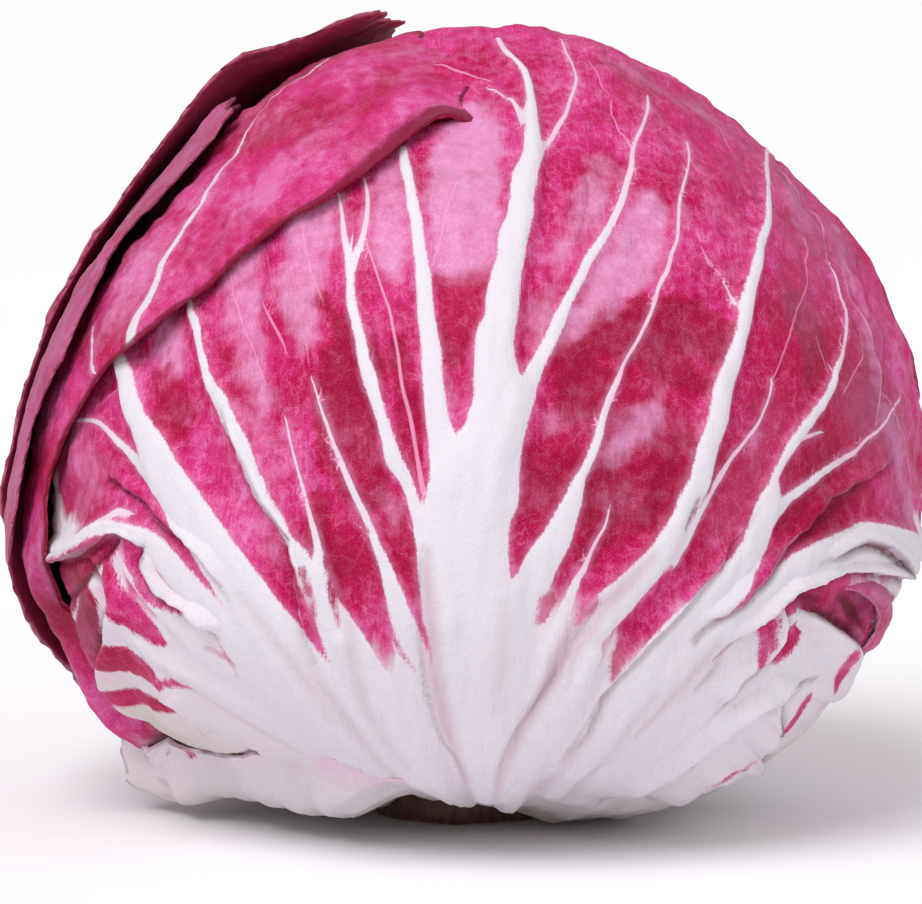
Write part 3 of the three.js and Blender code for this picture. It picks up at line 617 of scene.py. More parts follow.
# ------------------------------------------------- what is drawn on the leaves
# Paths in pixels of the photograph, each with its full widths in pixels, spread
# evenly over the path.  Ribs begin with their height in mm, veins with height and
# strength, the rest with their strength.
RIBS = [
    # the wide midrib
    (2.3, [(498, 38), (505, 52), (520, 66), (527, 80), (530, 100), (531, 120), (531, 140), (530, 160),
        (524, 180), (521, 200), (519, 220), (512, 240), (510, 260), (505, 280), (502, 300), (500, 320),
        (494, 340), (494, 360), (496, 380), (500, 400), (495, 420), (490, 440), (480, 460), (468, 500),
        (464, 560), (470, 620), (476, 680), (482, 740), (488, 790)],
     [4, 6, 8, 8, 10, 13, 17, 20, 28, 26, 27, 31, 28, 31, 35, 33, 40, 42, 48, 56, 58, 60, 70, 88, 92, 88,
      76, 56, 36]),
    (0.3, [(490, 87), (505, 95), (512, 99), (518, 108), (524, 124)], [2, 3, 4, 5, 7]),
    (0.4, [(562, 40), (566, 50), (572, 62), (577, 78), (570, 100), (566, 113), (558, 125), (552, 137),
        (543, 148), (536, 162)], [1.5, 2, 2, 3, 3, 4, 5, 5, 6, 9]),
    (1.0, [(648, 95), (648, 108), (643, 125), (634, 145), (632, 165), (628, 180), (622, 200), (613, 220),
        (603, 238), (588, 260), (579, 280), (568, 300), (559, 320), (550, 340), (539, 360), (530, 380),
        (523, 400), (515, 420), (505, 450), (500, 500)],
     [2, 3, 3, 4, 5, 6, 7, 7, 9, 10, 10, 10, 14, 14, 15, 18, 20, 24, 30, 36]),
    (0.9, [(688, 142), (690, 155), (688, 170), (684, 185), (680, 200), (679, 220), (677, 240), (671, 255),
        (667, 270), (660, 285), (656, 300), (650, 315), (638, 340), (625, 362), (618, 380), (609, 400),
        (602, 420), (597, 440), (589, 460), (579, 480), (572, 500), (563, 520), (555, 540), (541, 560),
        (532, 580), (521, 600), (508, 650), (500, 720)],
     [2, 2, 2, 3, 3, 3, 3, 4, 4, 4, 4, 3, 3, 3, 5, 7, 7, 9, 9, 12, 20, 26, 32, 37, 40, 46, 56, 60]),
    (0.4, [(609, 510), (605, 525), (597, 540), (590, 555), (583, 570), (577, 580), (566, 606), (548, 640)],
     [1.5, 2, 3, 4, 6, 7, 14, 24]),
    (1.4, [(768, 140), (767, 160), (768, 180), (768, 200), (768, 220), (761, 240), (757, 260), (751, 280),
        (746, 300), (742, 320), (737, 340), (731, 360), (723, 380), (718, 400), (714, 420), (708, 440),
        (702, 460), (696, 480), (686, 500), (677, 520), (665, 540), (652, 560), (635, 580), (610, 603),
        (582, 630), (560, 660), (545, 690), (525, 730), (505, 770)],
     [4, 5, 6, 7, 9, 10, 13, 13, 16, 16, 15, 19, 22, 24, 24, 24, 25, 25, 26, 22, 24, 30, 34, 40, 44, 46,
      46, 40, 30]),
    (0.2, [(735, 305), (730, 293), (724, 280)], [3, 2, 1.5]),
    (0.5, [(773, 380), (771, 395), (766, 410), (758, 425), (745, 442), (730, 460), (718, 480), (707, 500),
        (696, 520), (684, 540), (668, 562)], [1.5, 2, 2, 3, 3, 4, 6, 7, 9, 14, 20]),
    (1.2, [(830, 262), (836, 280), (841, 295), (846, 310), (848, 325), (846, 340), (842, 355), (836, 370),
        (833, 380), (823, 400), (808, 420), (794, 440), (782, 460), (773, 480), (767, 500), (760, 520),
        (752, 542), (740, 562), (724, 582), (700, 606), (672, 634), (640, 668), (600, 710), (560, 750)],
     [2, 3, 3, 4, 4, 4, 5, 8, 10, 10, 12, 12, 9, 10, 28, 30, 31, 32, 38, 42, 46, 48, 46, 40]),
    (0.2, [(822, 432), (808, 437), (797, 441)], [2, 4, 5]),
    (0.7, [(903, 396), (892, 412), (885, 425), (878, 432), (868, 440), (860, 448), (850, 455), (840, 462),
        (830, 468), (818, 476), (808, 484), (798, 492), (786, 501), (772, 512)],
     [1.5, 2, 2, 3, 3, 4, 5, 6, 7, 8, 9, 10, 12, 16]),
    # the white rib that folds over at the lower right
    (1.5, [(918, 548), (900, 548), (880, 543), (858, 541), (838, 549), (818, 559), (798, 567), (780, 579),
        (760, 597), (738, 614), (712, 634), (684, 660), (650, 694), (612, 730), (570, 765)],
     [26, 40, 40, 42, 42, 44, 40, 34, 30, 32, 38, 46, 50, 50, 46]),
    # pale folds at the lower right
    (0.6, [(862, 640), (846, 650), (826, 664), (800, 672), (772, 684), (742, 706), (708, 730), (664, 758),
        (612, 782)], [10, 20, 34, 44, 50, 56, 60, 62, 60]),
    (0.5, [(800, 612), (776, 636), (748, 658), (718, 688), (680, 716), (636, 750)],
     [8, 16, 22, 26, 34, 44]),
    # left of the midrib
    (1.1, [(403, 148), (405, 165), (410, 185), (413, 205), (416, 220), (420, 250), (424, 280), (425, 300),
        (427, 320), (430, 340), (432, 360), (433, 380), (435, 400), (438, 420), (442, 440), (448, 470)],
     [8, 11, 11, 12, 13, 13, 17, 16, 18, 19, 22, 21, 23, 25, 28, 36]),
    (1.0, [(338, 192), (342, 215), (344, 235), (350, 265), (351, 300), (356, 320), (361, 340), (365, 360),
        (371, 380), (377, 400), (383, 420), (389, 440), (395, 460), (407, 480), (414, 500), (420, 520),
        (425, 540), (432, 566), (440, 610)],
     [2, 4, 6, 9, 10, 10, 12, 13, 16, 13, 12, 14, 18, 13, 12, 13, 16, 24, 34]),
    (0.4, [(364, 178), (367, 195), (366, 215), (363, 235), (352, 266)], [2, 4, 5, 6, 8]),
    (0.6, [(312, 380), (325, 420), (335, 445), (345, 470), (355, 495), (365, 515), (375, 540), (385, 565),
        (396, 596), (408, 640), (424, 690)], [1.5, 3, 4, 6, 7, 7, 9, 12, 20, 34, 44]),
    (1.0, [(189, 298), (191, 310), (196, 325), (198, 340), (203, 360), (210, 380), (221, 400), (230, 420),
        (241, 440), (250, 460), (258, 480), (267, 500), (280, 520), (290, 537), (304, 560), (322, 596),
        (346, 640), (376, 692), (412, 742)],
     [4, 10, 11, 9, 10, 11, 18, 19, 18, 15, 17, 16, 14, 12, 18, 32, 46, 56, 54]),
    (1.6, [(120, 350), (124, 362), (130, 380), (134, 400), (143, 420), (153, 440), (162, 460), (174, 482),
        (192, 510), (210, 538), (230, 568), (254, 602), (284, 642), (320, 688), (364, 732), (420, 772)],
     [10, 18, 26, 28, 27, 36, 43, 50, 54, 54, 56, 60, 66, 70, 66, 56]),
    (0.6, [(62, 424), (75, 421), (88, 420), (98, 423), (108, 432), (120, 443), (130, 452), (142, 464),
        (160, 482)], [2, 3, 4, 5, 6, 8, 10, 14, 20]),
    (1.3, [(30, 541), (38, 543), (50, 548), (62, 549), (78, 542), (92, 532), (105, 526), (122, 527),
        (140, 534), (158, 546), (176, 568), (200, 596), (232, 632), (270, 676), (318, 724), (374, 764)],
     [10, 14, 14, 15, 16, 16, 14, 14, 20, 30, 36, 38, 44, 50, 56, 54]),
    (0.3, [(104, 520), (116, 512), (128, 514)], [5, 7, 6]),
    # pale folds at the lower left
    (0.5, [(106, 626), (122, 636), (140, 650), (160, 665), (200, 688), (250, 716), (300, 748)],
     [6, 8, 10, 14, 22, 34, 40]),
    (0.4, [(128, 724), (150, 730), (182, 742), (220, 752), (270, 766)], [4, 14, 20, 30, 36]),
    (0.5, [(116, 552), (126, 574), (140, 594), (158, 612), (180, 632), (226, 670)], [4, 7, 9, 11, 16, 26]),
    # greyish rib beside the dark valley
    (0.5, [(285, 420), (292, 450), (300, 480), (308, 510), (318, 545), (328, 590)], [1.5, 2, 3, 4, 8, 16]),
    # rounded pleats of the foot
    (1.7, [(592, 650), (574, 686), (553, 718), (533, 748), (516, 778), (506, 803)],
     [16, 26, 30, 34, 32, 24]),
    (1.0, [(640, 676), (614, 708), (590, 742), (568, 772), (552, 795)], [14, 20, 24, 24, 20]),
    (1.4, [(345, 640), (364, 694), (394, 740), (430, 778), (464, 800)], [20, 32, 40, 40, 26]),
    (0.8, [(285, 664), (322, 708), (368, 750), (418, 786)], [20, 30, 34, 30]),
]
VEINS = [
    (0.1, 0.7, [(430, 62), (443, 65), (455, 69), (478, 76), (490, 80)], [1, 2, 3, 3, 1.5]),
    (0.1, 0.7, [(399, 42), (403, 51), (414, 54)], [1.5, 2, 1]),
    (0.1, 0.7, [(433, 265), (436, 252), (440, 240), (446, 210), (457, 180)], [2, 2, 1.6, 1.4, 1]),
    (0.2, 0.8, [(366, 242), (373, 262), (384, 295), (390, 312), (396, 345), (402, 385), (410, 418),
        (416, 450), (424, 490)], [2, 2, 2.5, 3, 3, 3.5, 4, 4, 6]),
    (0.1, 0.7, [(262, 303), (270, 320), (278, 335), (284, 352)], [1.5, 3, 3, 1]),
    (0.1, 0.7, [(612, 100), (618, 127), (625, 135), (632, 148)], [1.5, 2, 2, 3]),
    (0.1, 0.7, [(770, 148), (790, 175), (812, 205), (824, 222), (827, 250), (830, 262)],
     [1.5, 1.5, 1.5, 1.5, 1.5, 2]),
    (0.1, 0.7, [(724, 280), (718, 270), (710, 265), (706, 255), (702, 240)], [1.5, 1.5, 1.2, 1.2, 1]),
    (0.1, 0.7, [(104, 402), (112, 392), (122, 386)], [1, 1.5, 2]),
    (0.1, 0.7, [(230, 262), (232, 290), (240, 318), (252, 350), (262, 380)], [1, 1.4, 1.4, 1.2, 1]),
    (0.1, 0.7, [(300, 215), (305, 245), (312, 275), (322, 300)], [0.8, 1.2, 1.2, 0.8]),
    (0.1, 0.7, [(590, 60), (600, 78), (608, 92)], [1, 1.4, 1]),
    (0.1, 0.7, [(700, 108), (716, 126), (736, 150)], [1, 1.2, 0.8]),
    (0.1, 0.7, [(862, 330), (864, 352), (858, 372), (846, 392)], [0.8, 1.2, 1.4, 1]),
    (0.15, 0.6, [(805, 238), (809, 262), (809, 285), (803, 302), (793, 328), (784, 352), (776, 376)],
     [1.2, 1.4, 1.4, 1.6, 1.8, 1.8, 1.6]),
    (0.1, 0.6, [(820, 340), (824, 355), (829, 372)], [1, 1.4, 1]),
    (0.3, 0.7, [(845, 272), (852, 295), (864, 320), (876, 345), (882, 372), (881, 400), (878, 425)],
     [1.2, 2, 2.2, 2.2, 2.4, 2, 1.4]),
    (0.3, 0.6, [(888, 395), (900, 420), (908, 450), (914, 490)], [1.4, 2, 2, 1.4]),
    (0.15, 0.7, [(700, 232), (706, 252), (716, 268), (726, 280)], [1.2, 1.6, 1.8, 2]),
    (0.1, 0.4, [(262, 242), (266, 262), (271, 282), (276, 304)], [1, 1.2, 1.2, 0.8]),
    (0.1, 0.5, [(304, 338), (308, 350), (309, 362)], [1, 1.6, 1]),
]
# creases: they sink the surface and are painted with shade
CREASES = [
    (0.35, [(690, 118), (712, 138), (740, 165), (762, 188)], [1, 2, 2, 1]),
    (0.45, [(772, 148), (790, 178), (808, 200), (824, 226), (830, 250), (834, 268)],
     [1, 2, 2.4, 2.4, 2, 1]),
    (0.4, [(850, 272), (857, 295), (868, 320), (879, 345), (886, 372), (885, 402)], [1, 2, 2, 2, 2, 1]),
    (0.4, [(860, 250), (868, 285), (880, 320), (890, 350)], [1, 2.4, 2.4, 1]),
    (0.45, [(892, 440), (896, 470), (902, 500), (905, 530)], [2, 3, 3, 2]),
    (0.4, [(262, 236), (266, 262), (272, 290), (278, 308)], [0.6, 1.6, 1.6, 0.6]),
    (0.3, [(228, 262), (244, 282), (258, 300), (268, 318)], [0.6, 1.6, 1.6, 0.6]),
    (0.5, [(372, 318), (376, 340), (380, 365)], [1, 2.2, 1]),
    (0.9, [(105, 480), (125, 490), (140, 500), (155, 515), (180, 535), (202, 552)], [3, 6, 7, 6, 5, 2]),
    (0.9, [(120, 535), (110, 548), (100, 560), (82, 582), (62, 604)], [3, 5, 6, 6, 4]),
    (0.55, [(222, 410), (232, 437), (245, 460), (258, 490), (272, 515), (288, 538)], [1, 2, 3, 3, 3, 2]),
    (0.45, [(584, 175), (590, 190), (587, 205), (585, 215), (578, 240)], [1, 2, 2, 2, 1]),
    (0.9, [(697, 498), (690, 512), (684, 527)], [2, 5, 3]),
    (0.6, [(690, 640), (715, 616), (740, 596), (764, 574), (790, 546), (812, 530), (832, 512), (862, 488)],
     [1, 2, 3, 3, 4, 6, 6, 3]),
    (0.85, [(835, 553), (845, 546), (858, 543), (875, 547), (888, 556), (905, 573)], [3, 8, 9, 8, 7, 3]),
    (0.9, [(778, 596), (800, 597), (822, 603)], [4, 9, 4]),
    (1.0, [(815, 612), (836, 622), (858, 640)], [4, 9, 5]),
    (0.95, [(843, 598), (852, 606), (860, 618), (868, 630)], [5, 14, 14, 5]),
    (0.5, [(420, 560), (420, 600), (421, 645), (427, 685), (434, 715), (443, 738), (456, 756), (463, 772)],
     [1, 3, 3.5, 3, 3, 3, 2.5, 1]),
    (0.4, [(596, 602), (578, 628), (564, 650), (550, 676), (532, 702), (512, 728), (500, 748), (494, 772)],
     [1, 2.5, 3, 3, 2.5, 2, 2, 1]),
    (0.35, [(606, 684), (595, 696), (587, 712), (573, 735), (558, 758)], [2, 3, 2.5, 2.5, 1]),
    (0.35, [(730, 640), (722, 655), (716, 670), (696, 690)], [3, 6, 6, 3]),
    (0.3, [(812, 676), (790, 686), (765, 702)], [1, 2, 1]),
    (0.85, [(88, 568), (99, 586), (105, 610), (102, 632), (100, 656), (105, 680), (113, 702)],
     [3, 5, 6, 6, 5, 4, 2]),
    (0.8, [(70, 600), (80, 640), (96, 680), (116, 712)], [3, 4, 4, 2]),
    (0.75, [(176, 744), (192, 750), (214, 755), (240, 756), (256, 754)], [2, 4, 5, 4, 1]),
    (0.7, [(148, 556), (143, 566), (152, 586), (164, 600)], [2, 4, 4, 2]),
]
FLAMES = [
    (1.0, [(306, 420), (312, 450), (319, 480), (326, 520), (330, 560), (334, 590), (340, 624)],
     [16, 20, 18, 14, 12, 9, 3]),
    (0.9, [(305, 568), (310, 590), (314, 610), (317, 628)], [7, 10, 7, 3]),
    (0.9, [(352, 480), (362, 530), (370, 575), (381, 602), (391, 632), (404, 654), (416, 668)],
     [10, 12, 13, 11, 9, 5, 2]),
    (0.9, [(385, 515), (396, 545), (404, 570), (413, 592)], [10, 10, 8, 3]),
    (0.8, [(548, 600), (542, 614), (537, 622)], [20, 14, 4]),
    (0.8, [(590, 600), (582, 612), (574, 622)], [18, 12, 4]),
    (0.85, [(668, 570), (655, 592), (641, 612), (628, 638), (618, 656), (609, 676)],
     [12, 22, 24, 22, 16, 4]),
    (0.9, [(700, 548), (690, 572), (680, 598)], [14, 10, 4]),
    (1.0, [(774, 606), (768, 624), (764, 642), (752, 672)], [14, 22, 18, 4]),
    (1.0, [(810, 602), (804, 622), (794, 642), (776, 660)], [12, 20, 20, 6]),
    (1.0, [(850, 650), (842, 668), (836, 690)], [12, 24, 8]),
    (1.0, [(818, 692), (806, 706), (794, 722), (780, 738)], [10, 22, 22, 6]),
    (1.0, [(806, 600), (830, 606), (856, 616), (868, 636)], [16, 36, 50, 30]),
    (1.0, [(128, 566), (136, 580), (148, 594), (166, 604), (184, 610), (198, 616)],
     [16, 18, 18, 16, 12, 4]),
    (1.0, [(104, 560), (110, 580), (120, 600), (134, 618), (148, 632), (158, 644)],
     [16, 24, 34, 40, 34, 14]),
    (1.0, [(112, 655), (126, 662), (142, 672), (156, 684)], [44, 50, 40, 12]),
    (1.0, [(104, 684), (122, 694), (144, 702), (164, 708), (184, 717)], [20, 32, 32, 22, 5]),
    (1.0, [(156, 684), (172, 684), (190, 690)], [10, 12, 4]),
    (0.5, [(205, 648), (222, 654), (238, 662)], [4, 8, 3]),
    (1.0, [(98, 545), (80, 570), (66, 590), (60, 640), (74, 690), (100, 724)], [20, 30, 34, 34, 30, 16]),
    (1.0, [(60, 575), (54, 610), (56, 640)], [24, 24, 20]),
    (1.0, [(44, 568), (66, 566), (90, 556), (112, 546)], [20, 26, 26, 18]),
    (1.0, [(76, 682), (92, 702), (112, 728), (124, 744)], [16, 34, 34, 12]),
    (1.0, [(84, 600), (88, 630), (94, 664), (104, 700)], [40, 44, 36, 24]),
    (1.0, [(872, 600), (888, 606), (896, 618)], [26, 26, 16]),
    (1.0, [(838, 604), (852, 612), (862, 624), (868, 640)], [16, 34, 36, 20]),
    (0.8, [(866, 650), (858, 676), (846, 700)], [20, 22, 10]),
]
# soft light zones of the front leaf: waxy bloom and painted highlight
BLOOM_AND_HIGHLIGHT_ZONES = [
    (0.95, [(474, 112), (466, 150), (463, 190), (462, 225), (462, 258)], [50, 86, 94, 84, 70]),
    (0.7, [(386, 176), (386, 210), (388, 240), (392, 268)], [40, 56, 52, 30]),
    (0.75, [(330, 198), (312, 232), (300, 268), (298, 300), (304, 338)], [30, 80, 86, 70, 36]),
    (0.6, [(236, 262), (238, 300), (246, 335), (254, 368), (262, 400)], [50, 66, 56, 48, 30]),
    (0.75, [(160, 318), (168, 345), (180, 368)], [30, 54, 30]),
    (0.4, [(235, 400), (262, 430), (275, 470), (280, 510)], [20, 34, 34, 20]),
    (0.65, [(604, 168), (590, 205), (572, 235), (556, 258)], [50, 52, 40, 20]),
    (0.95, [(652, 202), (640, 240), (624, 272), (602, 304), (578, 332), (560, 345)],
     [44, 66, 72, 66, 52, 20]),
    (0.4, [(592, 372), (578, 396), (562, 420), (546, 436)], [10, 22, 28, 14]),
    (0.7, [(672, 384), (654, 404), (636, 428), (616, 450), (600, 466)], [16, 34, 38, 34, 16]),
    (0.6, [(560, 270), (548, 305), (538, 340)], [20, 34, 24]),
    (0.5, [(590, 50), (640, 74), (692, 106), (744, 130)], [14, 30, 30, 12]),
    (0.25, [(640, 100), (690, 150), (712, 200)], [20, 40, 30]),
    (0.4, [(784, 160), (796, 200), (804, 236)], [20, 44, 30]),
    (0.65, [(838, 225), (850, 270), (868, 330), (884, 390), (900, 450), (912, 520)],
     [20, 26, 30, 34, 40, 34]),
    (0.4, [(776, 425), (756, 446), (740, 466)], [12, 20, 10]),
    (0.35, [(58, 430), (84, 470), (76, 520)], [30, 66, 56]),
    (0.35, [(225, 440), (240, 480), (262, 520), (272, 552)], [16, 34, 40, 26]),
    (0.45, [(372, 470), (384, 495), (394, 520)], [8, 22, 14]),
    (0.35, [(440, 372), (450, 400), (458, 425)], [14, 26, 12]),
    (0.3, [(660, 170), (680, 205), (690, 250)], [10, 20, 16]),
]
# painted shade: the darkest crimson zones of the front leaf
SHADE_ZONES = [
    (0.7, [(462, 290), (460, 318), (454, 350)], [58, 60, 36]),
    (1.0, [(318, 296), (344, 336), (352, 372), (350, 410), (354, 450), (362, 492)],
     [6, 44, 76, 80, 76, 50]),
    (0.85, [(396, 345), (402, 380), (408, 420), (414, 462)], [18, 32, 34, 24]),
    (1.0, [(574, 356), (578, 384), (574, 412)], [40, 58, 26]),
    (1.0, [(566, 354), (606, 338), (650, 326), (690, 326), (716, 342)], [16, 48, 60, 68, 56]),
    (0.8, [(640, 350), (680, 368), (704, 388)], [40, 50, 20]),
    (0.6, [(800, 306), (814, 342), (812, 378)], [36, 56, 26]),
    (0.6, [(160, 384), (172, 406), (184, 434)], [48, 50, 18]),
    (0.5, [(214, 344), (224, 356), (238, 362)], [8, 20, 8]),
    (0.6, [(600, 480), (606, 515), (590, 556)], [44, 60, 30]),
    (0.5, [(690, 440), (672, 480), (646, 520)], [20, 36, 24]),
    (0.55, [(830, 460), (800, 500), (770, 540)], [20, 34, 24]),
    (0.7, [(318, 500), (324, 545), (332, 590)], [20, 26, 16]),
]
# soft valleys of the foot: they sink the surface and carry painted shade
VALLEYS = [
    (0.6, [(427, 548), (429, 600), (433, 652), (440, 694), (447, 724), (456, 746), (463, 764), (470, 790)],
     [8, 18, 20, 18, 16, 12, 8, 4]),
    (0.75, [(582, 596), (571, 624), (560, 650), (550, 674), (538, 694), (524, 716), (511, 737),
        (502, 754), (496, 775), (491, 798)], [6, 14, 18, 16, 12, 10, 10, 8, 6, 5]),
    (0.45, [(604, 690), (588, 720), (572, 746), (556, 768), (540, 790)], [4, 8, 10, 8, 5]),
    (0.3, [(650, 690), (622, 728), (596, 764), (574, 792)], [4, 10, 12, 6]),
    (0.35, [(348, 590), (352, 640), (364, 690), (386, 730), (410, 758)], [5, 12, 12, 10, 5]),
    (0.4, [(302, 632), (326, 680), (350, 714), (380, 750), (412, 780), (446, 798)], [6, 10, 12, 12, 12, 8]),
    (0.3, [(245, 590), (275, 632), (308, 676), (340, 716)], [6, 12, 14, 8]),
    (0.3, [(166, 672), (206, 700), (252, 726), (300, 752)], [5, 12, 14, 8]),
    (0.35, [(330, 440), (328, 480), (331, 520), (336, 560), (340, 610)], [4, 12, 14, 12, 6]),
    (0.5, [(648, 556), (624, 580), (602, 602), (580, 630), (562, 664)], [12, 20, 22, 16, 8]),
    (0.4, [(714, 640), (690, 668), (662, 700), (634, 732)], [8, 14, 14, 8]),
    (0.18, [(505, 600), (500, 650), (494, 700)], [8, 20, 10]),
]
# fold edges: height in mm, the mm it eases away over, and pixels
LIPS = [
    (1.0, 3.5, [(72, 595), (85, 640), (100, 680), (120, 710), (132, 740)]),
    (0.7, 4.0, [(420, 575), (421, 640), (428, 690), (437, 725), (446, 742), (462, 758), (472, 790)]),
    (0.9, 3.0, [(304, 430), (315, 470), (322, 505), (326, 540), (332, 580)]),
    (0.6, 6.0, [(600, 605), (580, 630), (562, 655), (550, 685), (534, 712), (512, 744)]),
]
# Folded sheets on the front leaf, between a free edge that stands `high` mm off it and a back edge
# that is sunk in it, both in pixels.  `roll` turns the free edge in, `flesh` is 1 for red and -1 for
# white ones where the leaf's own colour doesn't do, and `flame` is red strokes on a white one.
FLAPS = dict(
    # at the right
    fold_right_top=dict(
        seed=201, high=1.1, roll=0.2,
        free=[(897, 456), (880, 470), (868, 478), (855, 485), (840, 495), (828, 503), (820, 515),
              (809, 527), (795, 536), (782, 548), (774, 559), (762, 575), (748, 588), (735, 600),
              (722, 611), (705, 619), (688, 634)],
        back=[(884, 440), (868, 452), (852, 460), (838, 466), (822, 476), (810, 486), (800, 498),
              (790, 510), (778, 520), (766, 530), (757, 544), (745, 560), (732, 574), (718, 586),
              (704, 598), (690, 606), (676, 622)]),
    fold_right_roll=dict(
        seed=202, high=0.9, roll=0.5, flesh=-1,
        free=[(812, 560), (822, 557), (835, 553), (846, 547), (858, 543), (870, 545), (884, 548),
              (895, 559), (906, 573), (914, 578)],
        back=[(800, 548), (812, 541), (826, 532), (840, 524), (856, 518), (870, 519), (888, 527),
              (902, 540), (914, 554), (920, 566)]),
    fold_right_rib=dict(
        seed=203, high=1.5, roll=0.5, flesh=-1,
        free=[(912, 580), (900, 577), (880, 573), (862, 572), (842, 572), (823, 578), (810, 584),
              (791, 588), (782, 597), (775, 605), (765, 614), (755, 621), (744, 631), (728, 643),
              (708, 658)],
        back=[(916, 566), (900, 561), (884, 557), (862, 555), (842, 558), (820, 562), (802, 567),
              (786, 573), (772, 582), (760, 592), (750, 601), (738, 611), (726, 621), (712, 634),
              (696, 650)]),
    fold_right_cup=dict(
        seed=204, high=1.0, roll=0.3, flesh=1, tone=-0.15, bloom=0.35,
        free=[(846, 590), (862, 594), (872, 604), (877, 618), (873, 634), (864, 646), (858, 662)],
        back=[(868, 574), (886, 580), (900, 590), (905, 606), (898, 626), (886, 644), (872, 664)]),
    fold_right_pale=dict(
        seed=205, high=1.5, roll=0.3, flesh=-1,
        flame=[
            ([(844, 648), (842, 662), (838, 676), (832, 690)], [12, 22, 20, 5])],
        free=[(792, 606), (806, 611), (820, 616), (839, 628), (853, 641), (858, 656), (854, 672),
              (846, 688), (832, 702), (818, 712)],
        back=[(782, 618), (790, 628), (798, 636), (806, 642), (812, 648), (816, 656), (814, 666),
              (808, 676), (800, 686), (794, 694)]),
    fold_right_ridge=dict(
        seed=206, high=0.9, roll=0.4, flesh=-1,
        flame=[
            ([(774, 606), (768, 624), (764, 642), (752, 672)], [14, 22, 18, 4])],
        free=[(792, 596), (786, 610), (786, 626), (780, 644), (770, 658), (756, 668), (742, 680),
              (728, 696), (714, 712)],
        back=[(772, 600), (764, 612), (760, 626), (752, 642), (742, 652), (730, 660), (718, 668),
              (706, 682), (694, 696)]),
    fold_right_low=dict(
        seed=207, high=1.5, roll=0.35, flesh=-1,
        free=[(812, 676), (797, 682), (784, 688), (780, 699), (768, 703), (752, 709), (736, 721),
              (720, 734), (700, 750), (680, 765), (655, 779), (624, 793), (600, 804)],
        back=[(800, 660), (784, 664), (770, 670), (762, 680), (750, 686), (736, 694), (720, 706),
              (704, 718), (684, 734), (664, 748), (640, 762), (612, 776), (590, 788)]),
    fold_right_torn=dict(
        seed=208, high=1.6, roll=0.1, flesh=-1, ragged=0.9,
        flame=[
            ([(742, 730), (720, 745), (698, 760), (676, 774), (650, 789), (628, 797)],
             [3, 8, 10, 11, 12, 7]),
            ([(790, 692), (784, 708), (780, 724)], [6, 8, 3]),
            ([(752, 758), (728, 770), (702, 780)], [3, 6, 2])],
        free=[(796, 690), (786, 704), (778, 720), (774, 738), (762, 752), (760, 766), (742, 772),
              (718, 780), (696, 790), (670, 800), (640, 800)],
        back=[(784, 686), (772, 694), (762, 704), (752, 714), (738, 724), (724, 736), (706, 748),
              (688, 758), (668, 770), (646, 782), (622, 794)]),
    fold_right_line=dict(
        seed=209, high=0.55, roll=0.2,
        free=[(755, 505), (740, 530), (720, 560), (700, 585), (675, 613), (650, 638), (620, 668),
              (604, 686), (594, 702), (584, 726), (564, 748)],
        back=[(742, 498), (727, 522), (707, 550), (687, 575), (663, 602), (637, 627), (607, 656),
              (590, 674), (579, 692), (568, 716), (548, 738)]),
    # at the left
    fold_left_curtain=dict(
        seed=211, high=1.6, roll=0.3,
        free=[(84, 556), (94, 570), (106, 590), (110, 607), (107, 630), (104, 653), (106, 676),
              (114, 699), (129, 730), (140, 748)],
        back=[(104, 548), (116, 560), (130, 582), (136, 604), (134, 628), (131, 652), (133, 674),
              (142, 696), (156, 722), (166, 740)]),
    fold_left_lobe=dict(
        seed=212, high=1.5, roll=0.45, flesh=-1,
        free=[(150, 545), (143, 552), (139, 562), (141, 571), (147, 581), (153, 591), (161, 598),
              (171, 603), (181, 605), (191, 611), (204, 622), (222, 636)],
        back=[(170, 548), (167, 554), (165, 562), (167, 570), (173, 578), (180, 584), (188, 589),
              (196, 593), (206, 597), (216, 603), (228, 614), (244, 628)]),
    fold_left_band=dict(
        seed=213, high=1.2, roll=0.45,
        free=[(34, 552), (46, 560), (57, 562), (68, 559), (80, 553), (90, 548), (100, 543), (110, 537),
              (119, 533), (128, 536), (138, 544), (148, 553)],
        back=[(36, 540), (46, 545), (57, 546), (68, 543), (79, 538), (90, 531), (100, 526), (111, 521),
              (121, 519), (132, 523), (144, 532), (156, 543)]),
    fold_left_crease=dict(
        seed=214, high=0.8, roll=0.2,
        free=[(104, 478), (118, 484), (130, 491), (142, 499), (150, 509), (158, 519), (168, 529),
              (178, 535), (190, 542), (202, 550), (211, 560), (221, 575), (236, 597)],
        back=[(116, 466), (130, 470), (144, 477), (156, 486), (165, 496), (173, 506), (183, 515),
              (193, 521), (205, 528), (217, 537), (226, 548), (237, 563), (252, 585)]),
    fold_left_line=dict(
        seed=215, high=0.65, roll=0.25,
        free=[(218, 404), (232, 435), (243, 462), (252, 486), (267, 509), (284, 530), (290, 546),
              (293, 570), (297, 592), (301, 612), (309, 636), (322, 660)],
        back=[(232, 400), (247, 430), (259, 456), (269, 478), (284, 500), (300, 520), (307, 542),
              (311, 568), (315, 590), (319, 608), (327, 630), (340, 652)]),
    fold_left_shallow=dict(
        seed=216, high=0.5, roll=0.2, flesh=-1,
        free=[(150, 700), (165, 703), (176, 708), (190, 722), (206, 740)],
        back=[(158, 688), (174, 689), (188, 696), (204, 710), (222, 730)]),
)
